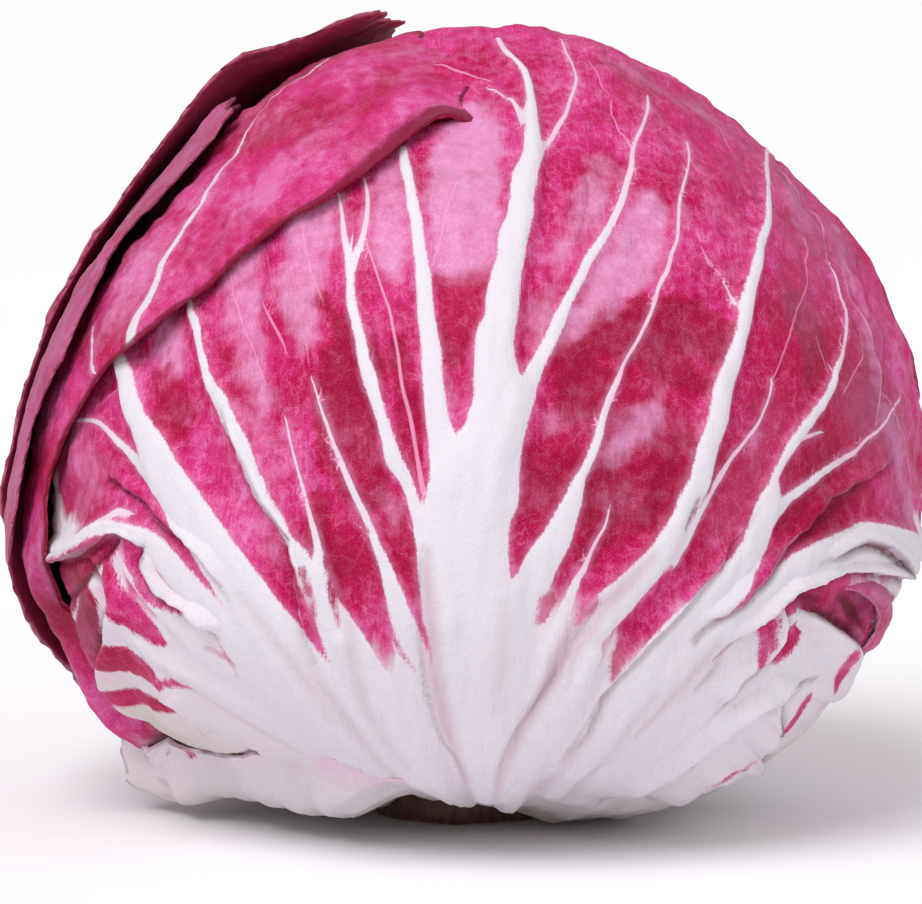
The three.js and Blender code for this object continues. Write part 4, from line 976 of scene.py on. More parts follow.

# soft round patches: pixel x, y, radius in pixels, amount
# painted shade: patches where the front leaf's crimson is darkened
FRONT_SHADE_PATCHES = [
    (620, 500, 55, 0.4), (560, 480, 30, 0.3), (680, 440, 40, 0.3), (250, 400, 30, 0.2), (735, 480, 40, 0.4),
    (780, 330, 40, 0.25), (820, 480, 40, 0.3), (600, 400, 40, 0.3), (320, 560, 30, 0.4),
    (840, 500, 40, 0.4), (80, 600, 50, 0.5), (400, 560, 30, 0.4), (810, 320, 50, 0.2), (860, 400, 40, 0.4)]
# painted shade in the hollows beside the folds and inside the cup
FRONT_HOLLOW_SHADE = [
    (90, 620, 14, 0.5), (100, 700, 20, 0.3), (858, 618, 15, 0.75), (838, 610, 12, 0.5), (838, 508, 22, 0.25),
    (815, 598, 12, 0.5), (890, 600, 14, 0.2)]
FRONT_PALER = [(732, 660, 13, 16), (745, 640, 8, 8)]
DULL = [        # where the flesh is a dull mauve
    (800, 190, 34, 0.7), (812, 240, 34, 0.6), (806, 300, 28, 0.4), (850, 250, 26, 0.6), (872, 330, 28, 0.55),
    (860, 400, 26, 0.5), (895, 430, 34, 0.65), (740, 170, 26, 0.2), (905, 520, 26, 0.5),
    (885, 600, 30, 0.6), (740, 130, 34, 0.3), (770, 430, 24, 0.3), (640, 74, 26, 0.5), (700, 110, 26, 0.5),
    (60, 460, 30, 0.4), (80, 500, 26, 0.35), (66, 600, 30, 0.5), (90, 640, 24, 0.4), (740, 500, 24, 0.3)]
# white foot of the front leaf: leaf angle a below which it is white, by b
FRONT_FOOT = [(-86, 72), (-70, 70), (-52, 66), (-36, 64), (-20, 64), (-8, 70), (6, 72), (16, 70), (30, 64),
              (46, 62), (60, 62), (74, 60), (86, 58)]


def strokes_of(rows):
    strokes = Strokes()
    for strength, pts, widths in rows:
        strokes.picture(pts, widths, strength=strength)
    return strokes


def side_hairs(ribs, veins):
    """Short hairs that leave the thin ribs, drawn as veins."""
    r = np.random.default_rng(5)
    for d, w, _, _ in ribs.paths:
        for k in range(2, len(d) - 2, 3):
            if w[k] > 1.6 or r.random() < 0.6:
                continue
            run = unit(d[k] - d[k + 1])
            out = unit(np.cross(d[k], run)) * r.choice([-1, 1])
            start = d[k] + out * w[k] * 0.8
            reach = r.uniform(0.3, 0.8)
            twig = [start, start + (out + 1.1 * run) * reach * 0.5, start + (out + 1.6 * run) * reach]
            veins.paths.append((np.array(twig), np.array([0.07, 0.05, 0.02]), 0.0, 0.6))


def front_strokes():
    """All that is drawn on the front leaf."""
    s = dict(rib=Strokes(), vein=Strokes(), crease=strokes_of(CREASES), flame=strokes_of(FLAMES),
             bloom=strokes_of(BLOOM_AND_HIGHLIGHT_ZONES), painted_shade=strokes_of(SHADE_ZONES), valley=strokes_of(VALLEYS), lip=Lips())
    for high, pts, widths in RIBS:
        s["rib"].picture(pts, widths, high)
    side_hairs(s["rib"], s["vein"])
    for high, strength, pts, widths in VEINS:
        s["vein"].picture(pts, widths, high, strength)
    for fold in FLAPS.values():     # a crease along the free edge of each folded sheet, dipped and painted with the sheet's shadow
        free, back = np.array(fold["free"], float), np.array(fold["back"], float)
        out = (free - back) / np.linalg.norm(free - back, axis=1, keepdims=True)
        s["crease"].picture(free + out * 2.5, [0.5, 6, 7, 6, 0.5], strength=min(0.9, 0.55 * fold["high"]))
    for high, reach, pts in LIPS:
        s["lip"].add(from_picture(pts), np.zeros(len(pts)), high, reach)
    return s


def foot_streaks(a, b, seed):
    return wander(np.stack([b * 1.0, b * 0.3, a * 0.12], -1), 9, seed, 2)


def front_pale(d, a, b):
    return a - table(FRONT_FOOT, b) - 4.0 * foot_streaks(a, b, 31) - blobs(d, FRONT_PALER)


def painted_shade(d):
    """Painted shade: the darkest crimson patches, 0 to 1, with crisp edges."""
    drawn = front["painted_shade"].measure(d)
    return ease(0.8, -1.2, drawn.gap + 0.7 * wander(d * BALL, 5, 17, 3)) * drawn.power


def front_tone(d, a, b):
    """0 darkest crimson to 1 magenta, lowered where shade is painted."""
    return 0.64 + 0.14 * wander(d * BALL, 16, 5) - 0.62 * painted_shade(d) - blobs(d, FRONT_SHADE_PATCHES)


def front_bloom(d, a, b):
    """The waxy lilac bloom and painted highlight, as soft light zones."""
    drawn = front["bloom"].measure(d)
    lit = ease(1.2, -2.2, drawn.gap + 0.8 * wander(d * BALL, 6, 16, 3)) * drawn.power * (1 - 0.9 * painted_shade(d))
    return 0.08 + 0.10 * wander(d * BALL, 11, 6) + 0.9 * lit


# painted shade in the front leaf's hollows
def front_dark(d, a, b):
    return blobs(d, FRONT_HOLLOW_SHADE)


def front_folds(d, a, b):
    return front["lip"].lift(d) - 0.7 * valley(d) + swell(a, b)


def valley(d):
    """How far down a point lies in the soft valleys of the foot, 0 to 1."""
    drawn = front["valley"].measure(d)
    return ease(1.0, -1.3, drawn.gap) * drawn.power


# ------------------------------------------------- the other leaves, by rule
def thin_parts(ribs, veins):
    """Rib ends are finer than the net, so they are drawn as veins too."""
    for d, w, _, _ in ribs.paths:
        if w.min() < 0.4:
            thin = w < 0.42
            last = len(w) - 1 - np.argmax(thin[::-1]) if thin[0] else len(w) - 1
            first = 0 if thin[0] else max(np.argmax(thin) - 1, 0)
            k = slice(first, min(last + 2, len(w)))
            veins.paths.append((d[k], np.minimum(w[k], 0.4), 0.0, 1.0))


RIB_TAPER = np.array([1.25, 1.1, 0.9, 0.7, 0.5, 0.36, 0.25, 0.16, 0.06])


def grown(spec):
    """Ribs, branches and fine veins along a leaf, from its rib list."""
    ribs, veins = Strokes(), Strokes()
    r = np.random.default_rng(spec["seed"])
    theta = spec["theta"]
    for b, high, wide, to in spec["ribs"]:
        top = to + 8
        steps = np.linspace(spec["a0"] + 2, top, 9)
        bend = np.concatenate([[0], np.cumsum(r.normal(0, 0.8, 8))])
        middle = table([(a, b * share) for a, share in RIB_FAN], steps) + bend
        ribs.angles(theta, list(zip(steps, middle)), wide * 0.5 * RIB_TAPER, high=high * 0.75)
        a = spec["a0"] + 22 + r.uniform(0, 8)
        turn = 1
        while a < top - 10:
            for k in (turn, -turn)[:1 + (r.random() < 0.35)]:
                b0 = float(np.interp(a, steps, middle))
                reach, lean = r.uniform(13, 24), r.uniform(0.45, 0.8)
                pts = [(a, b0)]
                for f in (0.35, 0.7, 1.0):
                    pts.append((a + reach * f, b0 + k * reach * lean * f**0.85 + r.normal(0, 0.7)))
                first = 0.5 + wide * 0.06
                ribs.angles(theta, pts, [first, first * 0.7, first * 0.4, 0.1], high=0.25)
                for f in (0.3, 0.6, 0.85):
                    if r.random() < 0.75:
                        qa, qb = a + reach * f, b0 + k * reach * lean * f**0.85
                        twig = [(qa, qb), (qa + 5, qb - k * r.uniform(0, 3)),
                                (qa + 9, qb - k * r.uniform(1, 5))]
                        veins.angles(theta, twig, [0.28, 0.2, 0.08], high=0.08, strength=0.6)
            a += r.uniform(9, 15)
            turn = -turn
    return dict(rib=ribs, vein=veins, crease=Strokes(), flame=Strokes())


def leaf(name, theta, seed, a0=18, tone=0.5, bloom=0.1, white_to=62, lit=(), **more):
    """A leaf's values, with how a plain leaf is coloured filled in."""
    def pale(d, a, b):
        return a - white_to - 5 * np.cos(np.radians(b * 7)) - 4 * foot_streaks(a, b, seed + 9)

    def redness(d, a, b):
        return tone + 0.22 * wander(d * BALL, 15, seed + 3)

    # a plain leaf's waxy bloom and painted highlight
    def blooming(d, a, b):
        return bloom + 0.16 * wander(d * BALL, 12, seed + 4) + (blobs(d, lit) if lit else 0)

    return dict(name=name, theta=theta, seed=seed, a0=a0, pale=pale, tone=redness, bloom=blooming, **more)


def mirrored(rows):
    return [(a, -b) for a, b in rows]


def front_sink(a, b, u, v):
    """The lowest left edge of the front leaf runs into the leaf beneath."""
    return 0.85 * ease(0.045, 0.0, v) * ease(95, 60, a)


def left_sink(a, b, u, v):
    """The left leaf's tip and lower right edge run into what lies beneath."""
    return np.maximum(ease(0.91 + 0.05 * ease(0.6, 1, v), 1.0, u), 0.8 * ease(0.93, 1.0, v) * ease(84, 66, a))


def base_left_sink(a, b, u, v):
    """So do the base leaf's edge, less so at its slit, and its right end."""
    slit = 0.16 * ease(0.12, 0.22, v) * (1 - ease(0.42, 0.6, v))
    return np.maximum(ease(0.6, 1.0, u) * (1 - slit), ease(0.7, 0.95, v))


def left_hump(d, a, b):
    """A rounded hump at the left leaf's lower corner."""
    return 2.8 * np.exp(-((a - 51) / 11)**2 - ((b - 4) / 12)**2)


# painted shade at the left leaf's lower corner and in its gap
def left_dark(d, a, b):
    return blobs(d, [(40, 620, 50, 0.35), (30, 520, 40, 0.15), (96, 716, 22, 0.5)])


BACK_EDGE = [(18, -24), (50, -52), (90, -74), (130, -66), (170, -50)]
# The leaves in the order they are laid: each one's edges as (a, b) rows, its tip as (b, a), the net
# of its outer face as rows and columns, and its ribs as b, height, width in mm and the a of their end.
leaves = [
    leaf("leaf_back", 97, 11, net=(181, 181), left=BACK_EDGE, right=mirrored(BACK_EDGE),
         tip=[(-60, 150), (-40, 172), (-20, 183), (0, 187), (20, 186), (45, 172), (60, 150)],
         ribs=[(-46, 0.8, 4, 150), (-22, 1, 5, 158), (0, 1.8, 9, 172), (24, 1, 5, 158), (48, 0.8, 4, 150)]),
    leaf("leaf_right", 18, 22, tone=0.55, bloom=0.35, net=(190, 172),
         left=[(18, -26), (50, -46), (90, -56), (130, -52), (165, -36)],
         right=[(18, 26), (50, 52), (90, 70), (130, 60), (165, 40)],
         tip=[(-50, 148), (-25, 164), (0, 170), (30, 166), (60, 146)],
         ribs=[(-40, 0.8, 4, 140), (-20, 1, 5, 152), (0, 2, 9, 162), (22, 1, 5, 152), (44, 0.8, 4, 140)]),
    leaf("leaf_base_right", 318, 33, white_to=66, net=(67, 79), wave=1.6, base_drop=1,
         left=[(18, -20), (40, -30), (60, -24)], right=[(18, 22), (40, 30), (60, 22)],
         tip=[(-28, 40), (-10, 50), (5, 56), (18, 52), (28, 42)], ribs=[(-12, 0.6, 5, 60), (6, 1, 7, 60)]),
    dict(name="leaf_front", theta=276, a0=10, seed=44, net=(277, 304), wave=0.7, foot=3.4, reach=8, gap=0.8,
         rib_fade=0.45, base_drop=-4, slim=0.75, fan=[(5, 0.3), (31, 0.62), (61, 0.94), (80, 1)],
         left=[(6, -42), (18, -53), (30, -63), (40, -70), (60, -80), (90, -84), (120, -80), (150, -60),
               (170, -34)],
         right=[(6, 30), (18, 36), (28, 44), (37, 54), (46, 63), (53, 70), (62, 77), (75, 83), (90, 84),
                (120, 82), (150, 66), (170, 44)],
         tip=[(-60, 140), (-34, 160), (-15, 168), (0, 170), (30, 170), (50, 162), (66, 148)],
         sink=front_sink, folds=front_folds,
         pale=front_pale, tone=front_tone, bloom=front_bloom, dark=front_dark, valley=valley),
    leaf("leaf_left", 180, 55, tone=0.62, bloom=0.14, white_to=44,
         lit=[(130, 240, 34, 0.35), (120, 300, 30, 0.25)],
         net=(214, 205), wave=0.4, ragged=0.08, ribs=[(-36, 1.4, 7, 120), (-12, 0.8, 5, 130)],
         left=[(18, -24), (50, -46), (80, -50), (100, -44), (115, -34), (128, -18), (140, 2), (149, 15),
               (157, 17), (168, 10), (175, 6)],
         right=dict(rows=[(18, -2), (36, 3), (46, 11), (54, 12), (62, 13), (70, 20)],
                    picture=[(480, 107), (450, 113), (412, 137), (362, 170), (300, 208), (245, 241),
                             (185, 290), (127, 345), (75, 392), (50, 437), (36, 480), (40, 530), (45, 600)]),
         tip=[(0, 168), (10, 172), (18, 177), (28, 180), (37, 182), (40, 181)],
         flare=dict(right=[(0, 0.4)], right_wide=0.06), sink=left_sink, folds=left_hump, dark=left_dark),
    leaf("leaf_left_outer", 172, 66, tone=0.6, bloom=0.3, net=(190, 160), wave=0.6,
         left=[(18, -24), (50, -46), (90, -54), (130, -44), (150, -30)],
         right=dict(rows=[(18, 0), (45, 0), (58, 4), (67, 13)],
                    picture=[(250, 96), (202, 141), (147, 197), (108, 250), (90, 300), (65, 350), (45, 390),
                             (30, 430), (26, 480), (18, 530)]),
         tip=[(-50, 124), (-25, 138), (0, 144), (20, 148), (30, 150)],
         flare=dict(right=[(30, 0), (60, 0.6), (90, 0.7), (120, 0.8), (150, 0.8)], tip=0.5, tip_wide=0.12),
         ribs=[(-36, 0.8, 4, 128), (-16, 1.6, 8, 140), (4, 0.9, 5, 146)]),
    leaf("leaf_back_right", 60, 77, bloom=0.2, net=(181, 172), wave=1.3,
         left=[(18, -24), (50, -46), (90, -50), (120, -44), (150, -28)],
         right=[(18, 24), (50, 48), (90, 56), (120, 50), (150, 30)],
         tip=[(-44, 118), (-25, 138), (0, 150), (25, 140), (48, 120)],
         flare=dict(left=[(30, 0), (60, 0.5)], left_wide=0.12, tip=1.2),
         ribs=[(-34, 0.8, 4, 125), (-16, 1, 5, 138), (0, 2, 9, 148), (18, 1, 5, 138), (36, 0.8, 4, 125)]),
    leaf("leaf_left_back", 146, 88, bloom=0.2, net=(196, 166), wave=0.9,
         left=[(18, -24), (50, -46), (90, -52), (130, -42), (160, -26)],
         right=[(18, -2), (48, 0), (60, 6), (70, 24), (80, 34), (92, 34), (122, 29), (144, 22), (162, 14),
                (175, 8)],
         tip=[(-48, 126), (-30, 146), (-14, 159), (-4, 166), (3, 169), (8, 168), (12, 163), (16, 155)],
         flare=dict(right=[(30, 0.2), (60, 1), (90, 0.5), (115, 0.5), (135, 1.2), (160, 2.8), (175, 2.6)],
                    right_wide=0.22, tip=2.2, tip_wide=0.16),
         ribs=[(-34, 0.8, 4, 134), (-16, 1, 5, 150), (-2, 2, 9, 160), (13, 0.8, 5, 150)]),
    leaf("leaf_base_left", 229, 99, white_to=66, net=(58, 76), wave=1.4, base_drop=1,
         left=[(18, -24), (40, -33), (60, -28)], right=[(18, 8), (26, 15), (34, 23), (60, 20)],
         tip=[(-28, 39), (-12, 42), (8, 45), (24, 42)],
         flare=dict(left=[(18, 0.4), (26, 2.8), (33, 4.8), (44, 5.2), (60, 5)], left_wide=1.5),
         ribs=[(-18, 0.6, 6, 50), (0, 1, 8, 50), (14, 0.6, 6, 50)], sink=base_left_sink),
]

# what is drawn on the left leaf and the base leaf beside it, as above
LEFT_RIBS = [
    (0.5, [(233, 130), (225, 143), (213, 153), (203, 165), (193, 180), (188, 192), (180, 203), (172, 215),
        (165, 230), (157, 243), (150, 258), (147, 272), (143, 288), (138, 303), (131, 317), (124, 346)],
     [4, 5, 6, 7, 8, 9, 10, 11, 12, 12]),
    (0.3, [(80, 325), (83, 340), (88, 368)], [4, 5, 6])]
LEFT_VEIN = [(390, 20), (365, 30), (345, 42), (333, 50), (327, 60), (310, 72), (288, 81), (270, 93),
             (262, 100), (250, 108), (233, 130)]
LEFT_CREASES = [
    [(231, 184), (234, 200), (241, 210), (250, 221), (259, 234)], [(190, 255), (200, 263), (212, 272)],
    [(274, 134), (284, 146), (300, 160)], [(330, 120), (340, 140), (346, 162)],
    [(180, 310), (205, 288), (240, 262)], [(300, 96), (322, 112), (350, 118)]]
SLIT_FLAMES = [
    ([(130, 786), (140, 777), (160, 772), (190, 773), (218, 777), (244, 782)], [10, 8, 7, 6, 5, 2]),
    ([(126, 790), (132, 803), (142, 816)], [12, 18, 10])]


def draw_left(drawn):
    for high, pts, widths in LEFT_RIBS:
        drawn["rib"].picture(pts, widths, high)
    for pts in LEFT_CREASES:
        drawn["crease"].picture(pts, [1, 2.4, 1], strength=0.35)
    drawn["vein"].picture(LEFT_VEIN, [2, 2.5, 3, 3, 3], high=0.3)


def draw_slit(drawn):
    for pts, widths in SLIT_FLAMES:
        drawn["flame"].picture(pts, widths)


EXTRAS = dict(leaf_left=draw_left, leaf_base_left=draw_slit)
FRONT = next(spec for spec in leaves if spec["name"] == "leaf_front")


def front_form(d):
    """The very surface that the front leaf will have, to read its drawing off."""
    angles = leaf_angles(FRONT["theta"], d)
    return (radius(HEART, d) + look(front_bed, d) + FRONT["gap"] + BLADE + DRAWING_RISE
            + foot_extra(FRONT, *angles) + swell(*angles))


pieces = {}
for spec in leaves:
    name = spec["name"]
    net = spec["net"]
    if spec is FRONT:
        front_bed = bed(spec["reach"])
        form = front_form
        front = front_strokes()
        drawn = on_front = {kind: front[kind] for kind in ("rib", "vein", "crease", "flame")}
    else:
        drawn = grown(spec)
        if name in EXTRAS:
            EXTRAS[name](drawn)
    thin_parts(drawn["rib"], drawn["vein"])
    pieces[name] = build_leaf(spec, drawn, *net)
    form = outline_form


# ------------------------------------------------------------- folded sheets
def outer_surface(objects):
    """What lies outermost so far, to be met by rays towards the centre."""
    verts, polys = [], []
    for ob in objects:
        n = len(verts)
        co = np.empty(len(ob.data.vertices) * 3)
        ob.data.vertices.foreach_get("co", co)
        verts += [tuple(v) for v in (co.reshape(-1, 3) / MM)]
        polys += [[n + v for v in f.vertices] for f in ob.data.polygons]
    return BVHTree.FromPolygons(verts, polys)


RAY_FROM, NOTHING_MET = 90.0, 50.0      # mm from the centre


def ground_under(tree, d):
    """How far out the surface lies in the directions d."""
    flat = d.reshape(-1, 3)
    out = np.full(len(flat), NOTHING_MET)
    for k, v in enumerate(flat):
        hit = tree.ray_cast(Vector(CENTRE + v * RAY_FROM), Vector(-v))
        if hit[0] is not None:
            out[k] = RAY_FROM - hit[3]
    return out.reshape(d.shape[:-1])


FLAP_ENDS = 0.18            # share of its length over which a sheet rises and falls


def build_flap(name, spec, tree, drawn):
    """A sheet whose back edge grows out of the leaf and whose free edge
    stands `high` mm off it, between two paths given in pixels."""
    free, back = from_picture(spec["free"]), from_picture(spec["back"])
    length = np.concatenate([[0], np.cumsum(np.linalg.norm(np.diff(free, axis=0), axis=1))])
    rows = int(max(8, length[-1] * BALL / 0.5 / INNER_STEP)) * INNER_STEP + 1
    cols = 31
    steps = np.interp(np.linspace(0, length[-1], rows), length, np.arange(len(free)))
    free = rounded(free, steps)
    back = rounded(back, steps * (len(spec["back"]) - 1) / (len(spec["free"]) - 1))
    s, t = np.linspace(0, 1, rows)[:, None], np.linspace(0, 1, cols)[None, :]
    p, seed = free * BALL, spec["seed"]
    ragged = spec.get("ragged", 0.25) * (wander(p, 5, seed, 2) + 0.5 * wander(p, 1.6, seed + 1, 2))
    span = np.linalg.norm(free - back, axis=1) * BALL
    t = t * (1 + ragged[:, None] / span[:, None])
    d = unit(back[:, None] * (1 - t[..., None]) + free[:, None] * t[..., None])
    ends = ease(0, FLAP_ENDS, s) * (1 - ease(1 - FLAP_ENDS, 1, s))
    high = spec["high"] * (1 + 0.2 * wander(p, 9, seed + 2, 2)[:, None]) * ends
    ground = ground_under(tree, d)
    for _ in range(6):
        ground[1:-1] += 0.25 * (ground[:-2] - 2 * ground[1:-1] + ground[2:])
        ground[:, 1:-1] += 0.25 * (ground[:, :-2] - 2 * ground[:, 1:-1] + ground[:, 2:])
    roll = spec["roll"]
    shape = ease(0, 0.85, t) * (1 - roll * ease(0.80, 1.04, t)**2)
    grain = 0.06 * wander(d * BALL, 2.4, seed + 3, 2)
    outer = ground - FLAP_SUNK + (FLAP_SUNK * ends + high) * shape + grain * shape
    inner = outer - (FLAP_THICK - 0.3 * t) + 0.3 * ease(0.7, 1.0, t) * (1 - roll)
    a, b = leaf_angles(FRONT["theta"], d)
    data = {kind: strokes.measure(d) for kind, strokes in drawn.items()}
    if "flame" in spec:
        data["flame"] = strokes_of([(1.0, *row) for row in spec["flame"]]).measure(d)
    data.update(
        along=a * DEGREE, aside=fan(FRONT, a, b) * DEGREE,
        edge=np.maximum((1 - t) * span[:, None], 0) + 0 * a,
        pale=12.0 * spec["flesh"] + 0 * a if "flesh" in spec else front_pale(d, a, b),
        tone=front_tone(d, a, b) + spec.get("tone", 0), bloom=front_bloom(d, a, b) + spec.get("bloom", 0),
        dark=0 * a, valley=valley(d) * (1 - t), dull=blobs(d, DULL))
    return shell(name, CENTRE + d * outer[..., None], CENTRE + d * inner[..., None], data)


form = front_form
tree = outer_surface([pieces["leaf_front"], pieces["leaf_right"], pieces["leaf_base_right"]])
for name, spec in FLAPS.items():
    pieces[name] = build_flap(name, spec, tree, on_front)


# ------------------------------------------------------------------ materials
def srgb(r, g, b):
    def lin(c):
        c /= 255
        return c / 12.92 if c <= 0.04045 else ((c + 0.055) / 1.055)**2.4
    return (lin(r), lin(g), lin(b), 1.0)


class Graph:
    """Short words for building a material's nodes."""

    def __init__(self, name):
        self.material = bpy.data.materials.new(name)
        self.material.use_nodes = True
        self.tree = self.material.node_tree
        self.tree.nodes.clear()

    def node(self, kind, values=(), **settings):
        n = self.tree.nodes.new(kind)
        for k, v in settings.items():
            setattr(n, k, v)
        for k, v in dict(values).items():
            if v is not None:
                self.put(n.inputs[k], v)
        return n

    def put(self, socket, value):
        if isinstance(value, bpy.types.NodeSocket):
            self.tree.links.new(value, socket)
        else:
            socket.default_value = value

    def calc(self, op, a, b=None, c=None, clamp=False):
        return self.node("ShaderNodeMath", {0: a, 1: b, 2: c}, operation=op, use_clamp=clamp).outputs[0]

    def mul(self, a, b, clamp=False):
        return self.calc("MULTIPLY", a, b, clamp=clamp)

    def mul_add(self, a, b, c):
        return self.calc("MULTIPLY_ADD", a, b, c)

    def less(self, a, b):
        return self.calc("SUBTRACT", a, b)

    def add(self, first, *others, clamp=False):
        return self.calc("ADD", first, self.add(*others), clamp=clamp) if others else first

    def around(self, x, k):
        """A noise moved to lie around 0, k times as strong."""
        return self.mul(self.less(x, 0.5), k)

    def attr(self, name):
        return self.node("ShaderNodeAttribute", attribute_name=name).outputs["Fac"]

    def step(self, low, high, x):
        """0 at low and 1 at high, smooth between; low may be the larger."""
        if low > high:
            return self.less(1.0, self.step(high, low, x))
        return self.node("ShaderNodeMapRange", {"Value": x, "From Min": low, "From Max": high},
                         interpolation_type="SMOOTHSTEP").outputs[0]

    def place(self):
        """Where a point lies on the object, in mm."""
        n = self.node("ShaderNodeTexCoord").outputs["Object"]
        return self.scaled(n, PER_METRE)

    def noise(self, at, scale, detail=2.0, rough=0.5):
        return self.node("ShaderNodeTexNoise", {
            "Vector": at, "Scale": scale, "Detail": detail, "Roughness": rough}).outputs["Fac"]

    def mix(self, fac, a, b):
        n = self.node("ShaderNodeMix", data_type="RGBA")
        for i, v in ((0, fac), (6, a), (7, b)):
            self.put(n.inputs[i], v)
        return n.outputs[2]

    def combine(self, x, y):
        return self.node("ShaderNodeCombineXYZ", {0: x, 1: y, 2: 0.0}).outputs[0]

    def vector(self, op, v, w):
        return self.node("ShaderNodeVectorMath", {0: v, 1: w}, operation=op).outputs[0]

    def scaled(self, v, k):
        return self.node("ShaderNodeVectorMath", {0: v, "Scale": k}, operation="SCALE").outputs[0]

    def ramp(self, x, stops):
        n = self.node("ShaderNodeValToRGB", {0: x})
        e = n.color_ramp.elements
        while len(e) < len(stops):
            e.new(0.5)
        for k, (at, colour) in enumerate(stops):
            e[k].position, e[k].color = at, colour
        return n.outputs[0]

    def bump(self, height, strength, distance):
        return self.node("ShaderNodeBump", {
            "Height": height, "Strength": strength, "Distance": distance}).outputs[0]

    def surface(self, **values):
        """Ends the material in a plain shader, whose sockets are given as Base_Color and so on."""
        shader = self.node("ShaderNodeBsdfPrincipled", {k.replace("_", " "): v for k, v in values.items()})
        self.node("ShaderNodeOutputMaterial", {"Surface": shader.outputs[0]})
        return self.material


DEEP = srgb(150, 0, 54)         # the flesh, from its darkest to its palest
CRIMSON = srgb(174, 0, 70)
MAGENTA = srgb(200, 46, 120)
PINK = srgb(212, 98, 158)
LILAC = srgb(223, 160, 204)     # the waxy bloom and painted highlight; also the paler tissue beside the ribs
MAUVE = srgb(156, 78, 112)      # dull flesh, in two shades
MAUVE_PINK = srgb(176, 96, 136)
VEIN = srgb(232, 160, 196)
WHITE = srgb(217, 211, 219)     # ribs
FOOT = srgb(221, 211, 220)      # the white foot, what tints it, and the painted shade of its valleys
BLUSH = srgb(200, 140, 170)
BEIGE = srgb(208, 198, 188)
VALLEY_SHADE = srgb(186, 150, 164)
TAN = srgb(205, 140, 140)       # pale margins with painted highlight, at the free edges of dull leaves
MAROON = srgb(112, 4, 34)       # painted shade along the curled margins
SHADE = srgb(90, 0, 26)         # creases and hollows
WINE = srgb(152, 4, 46)         # under faces


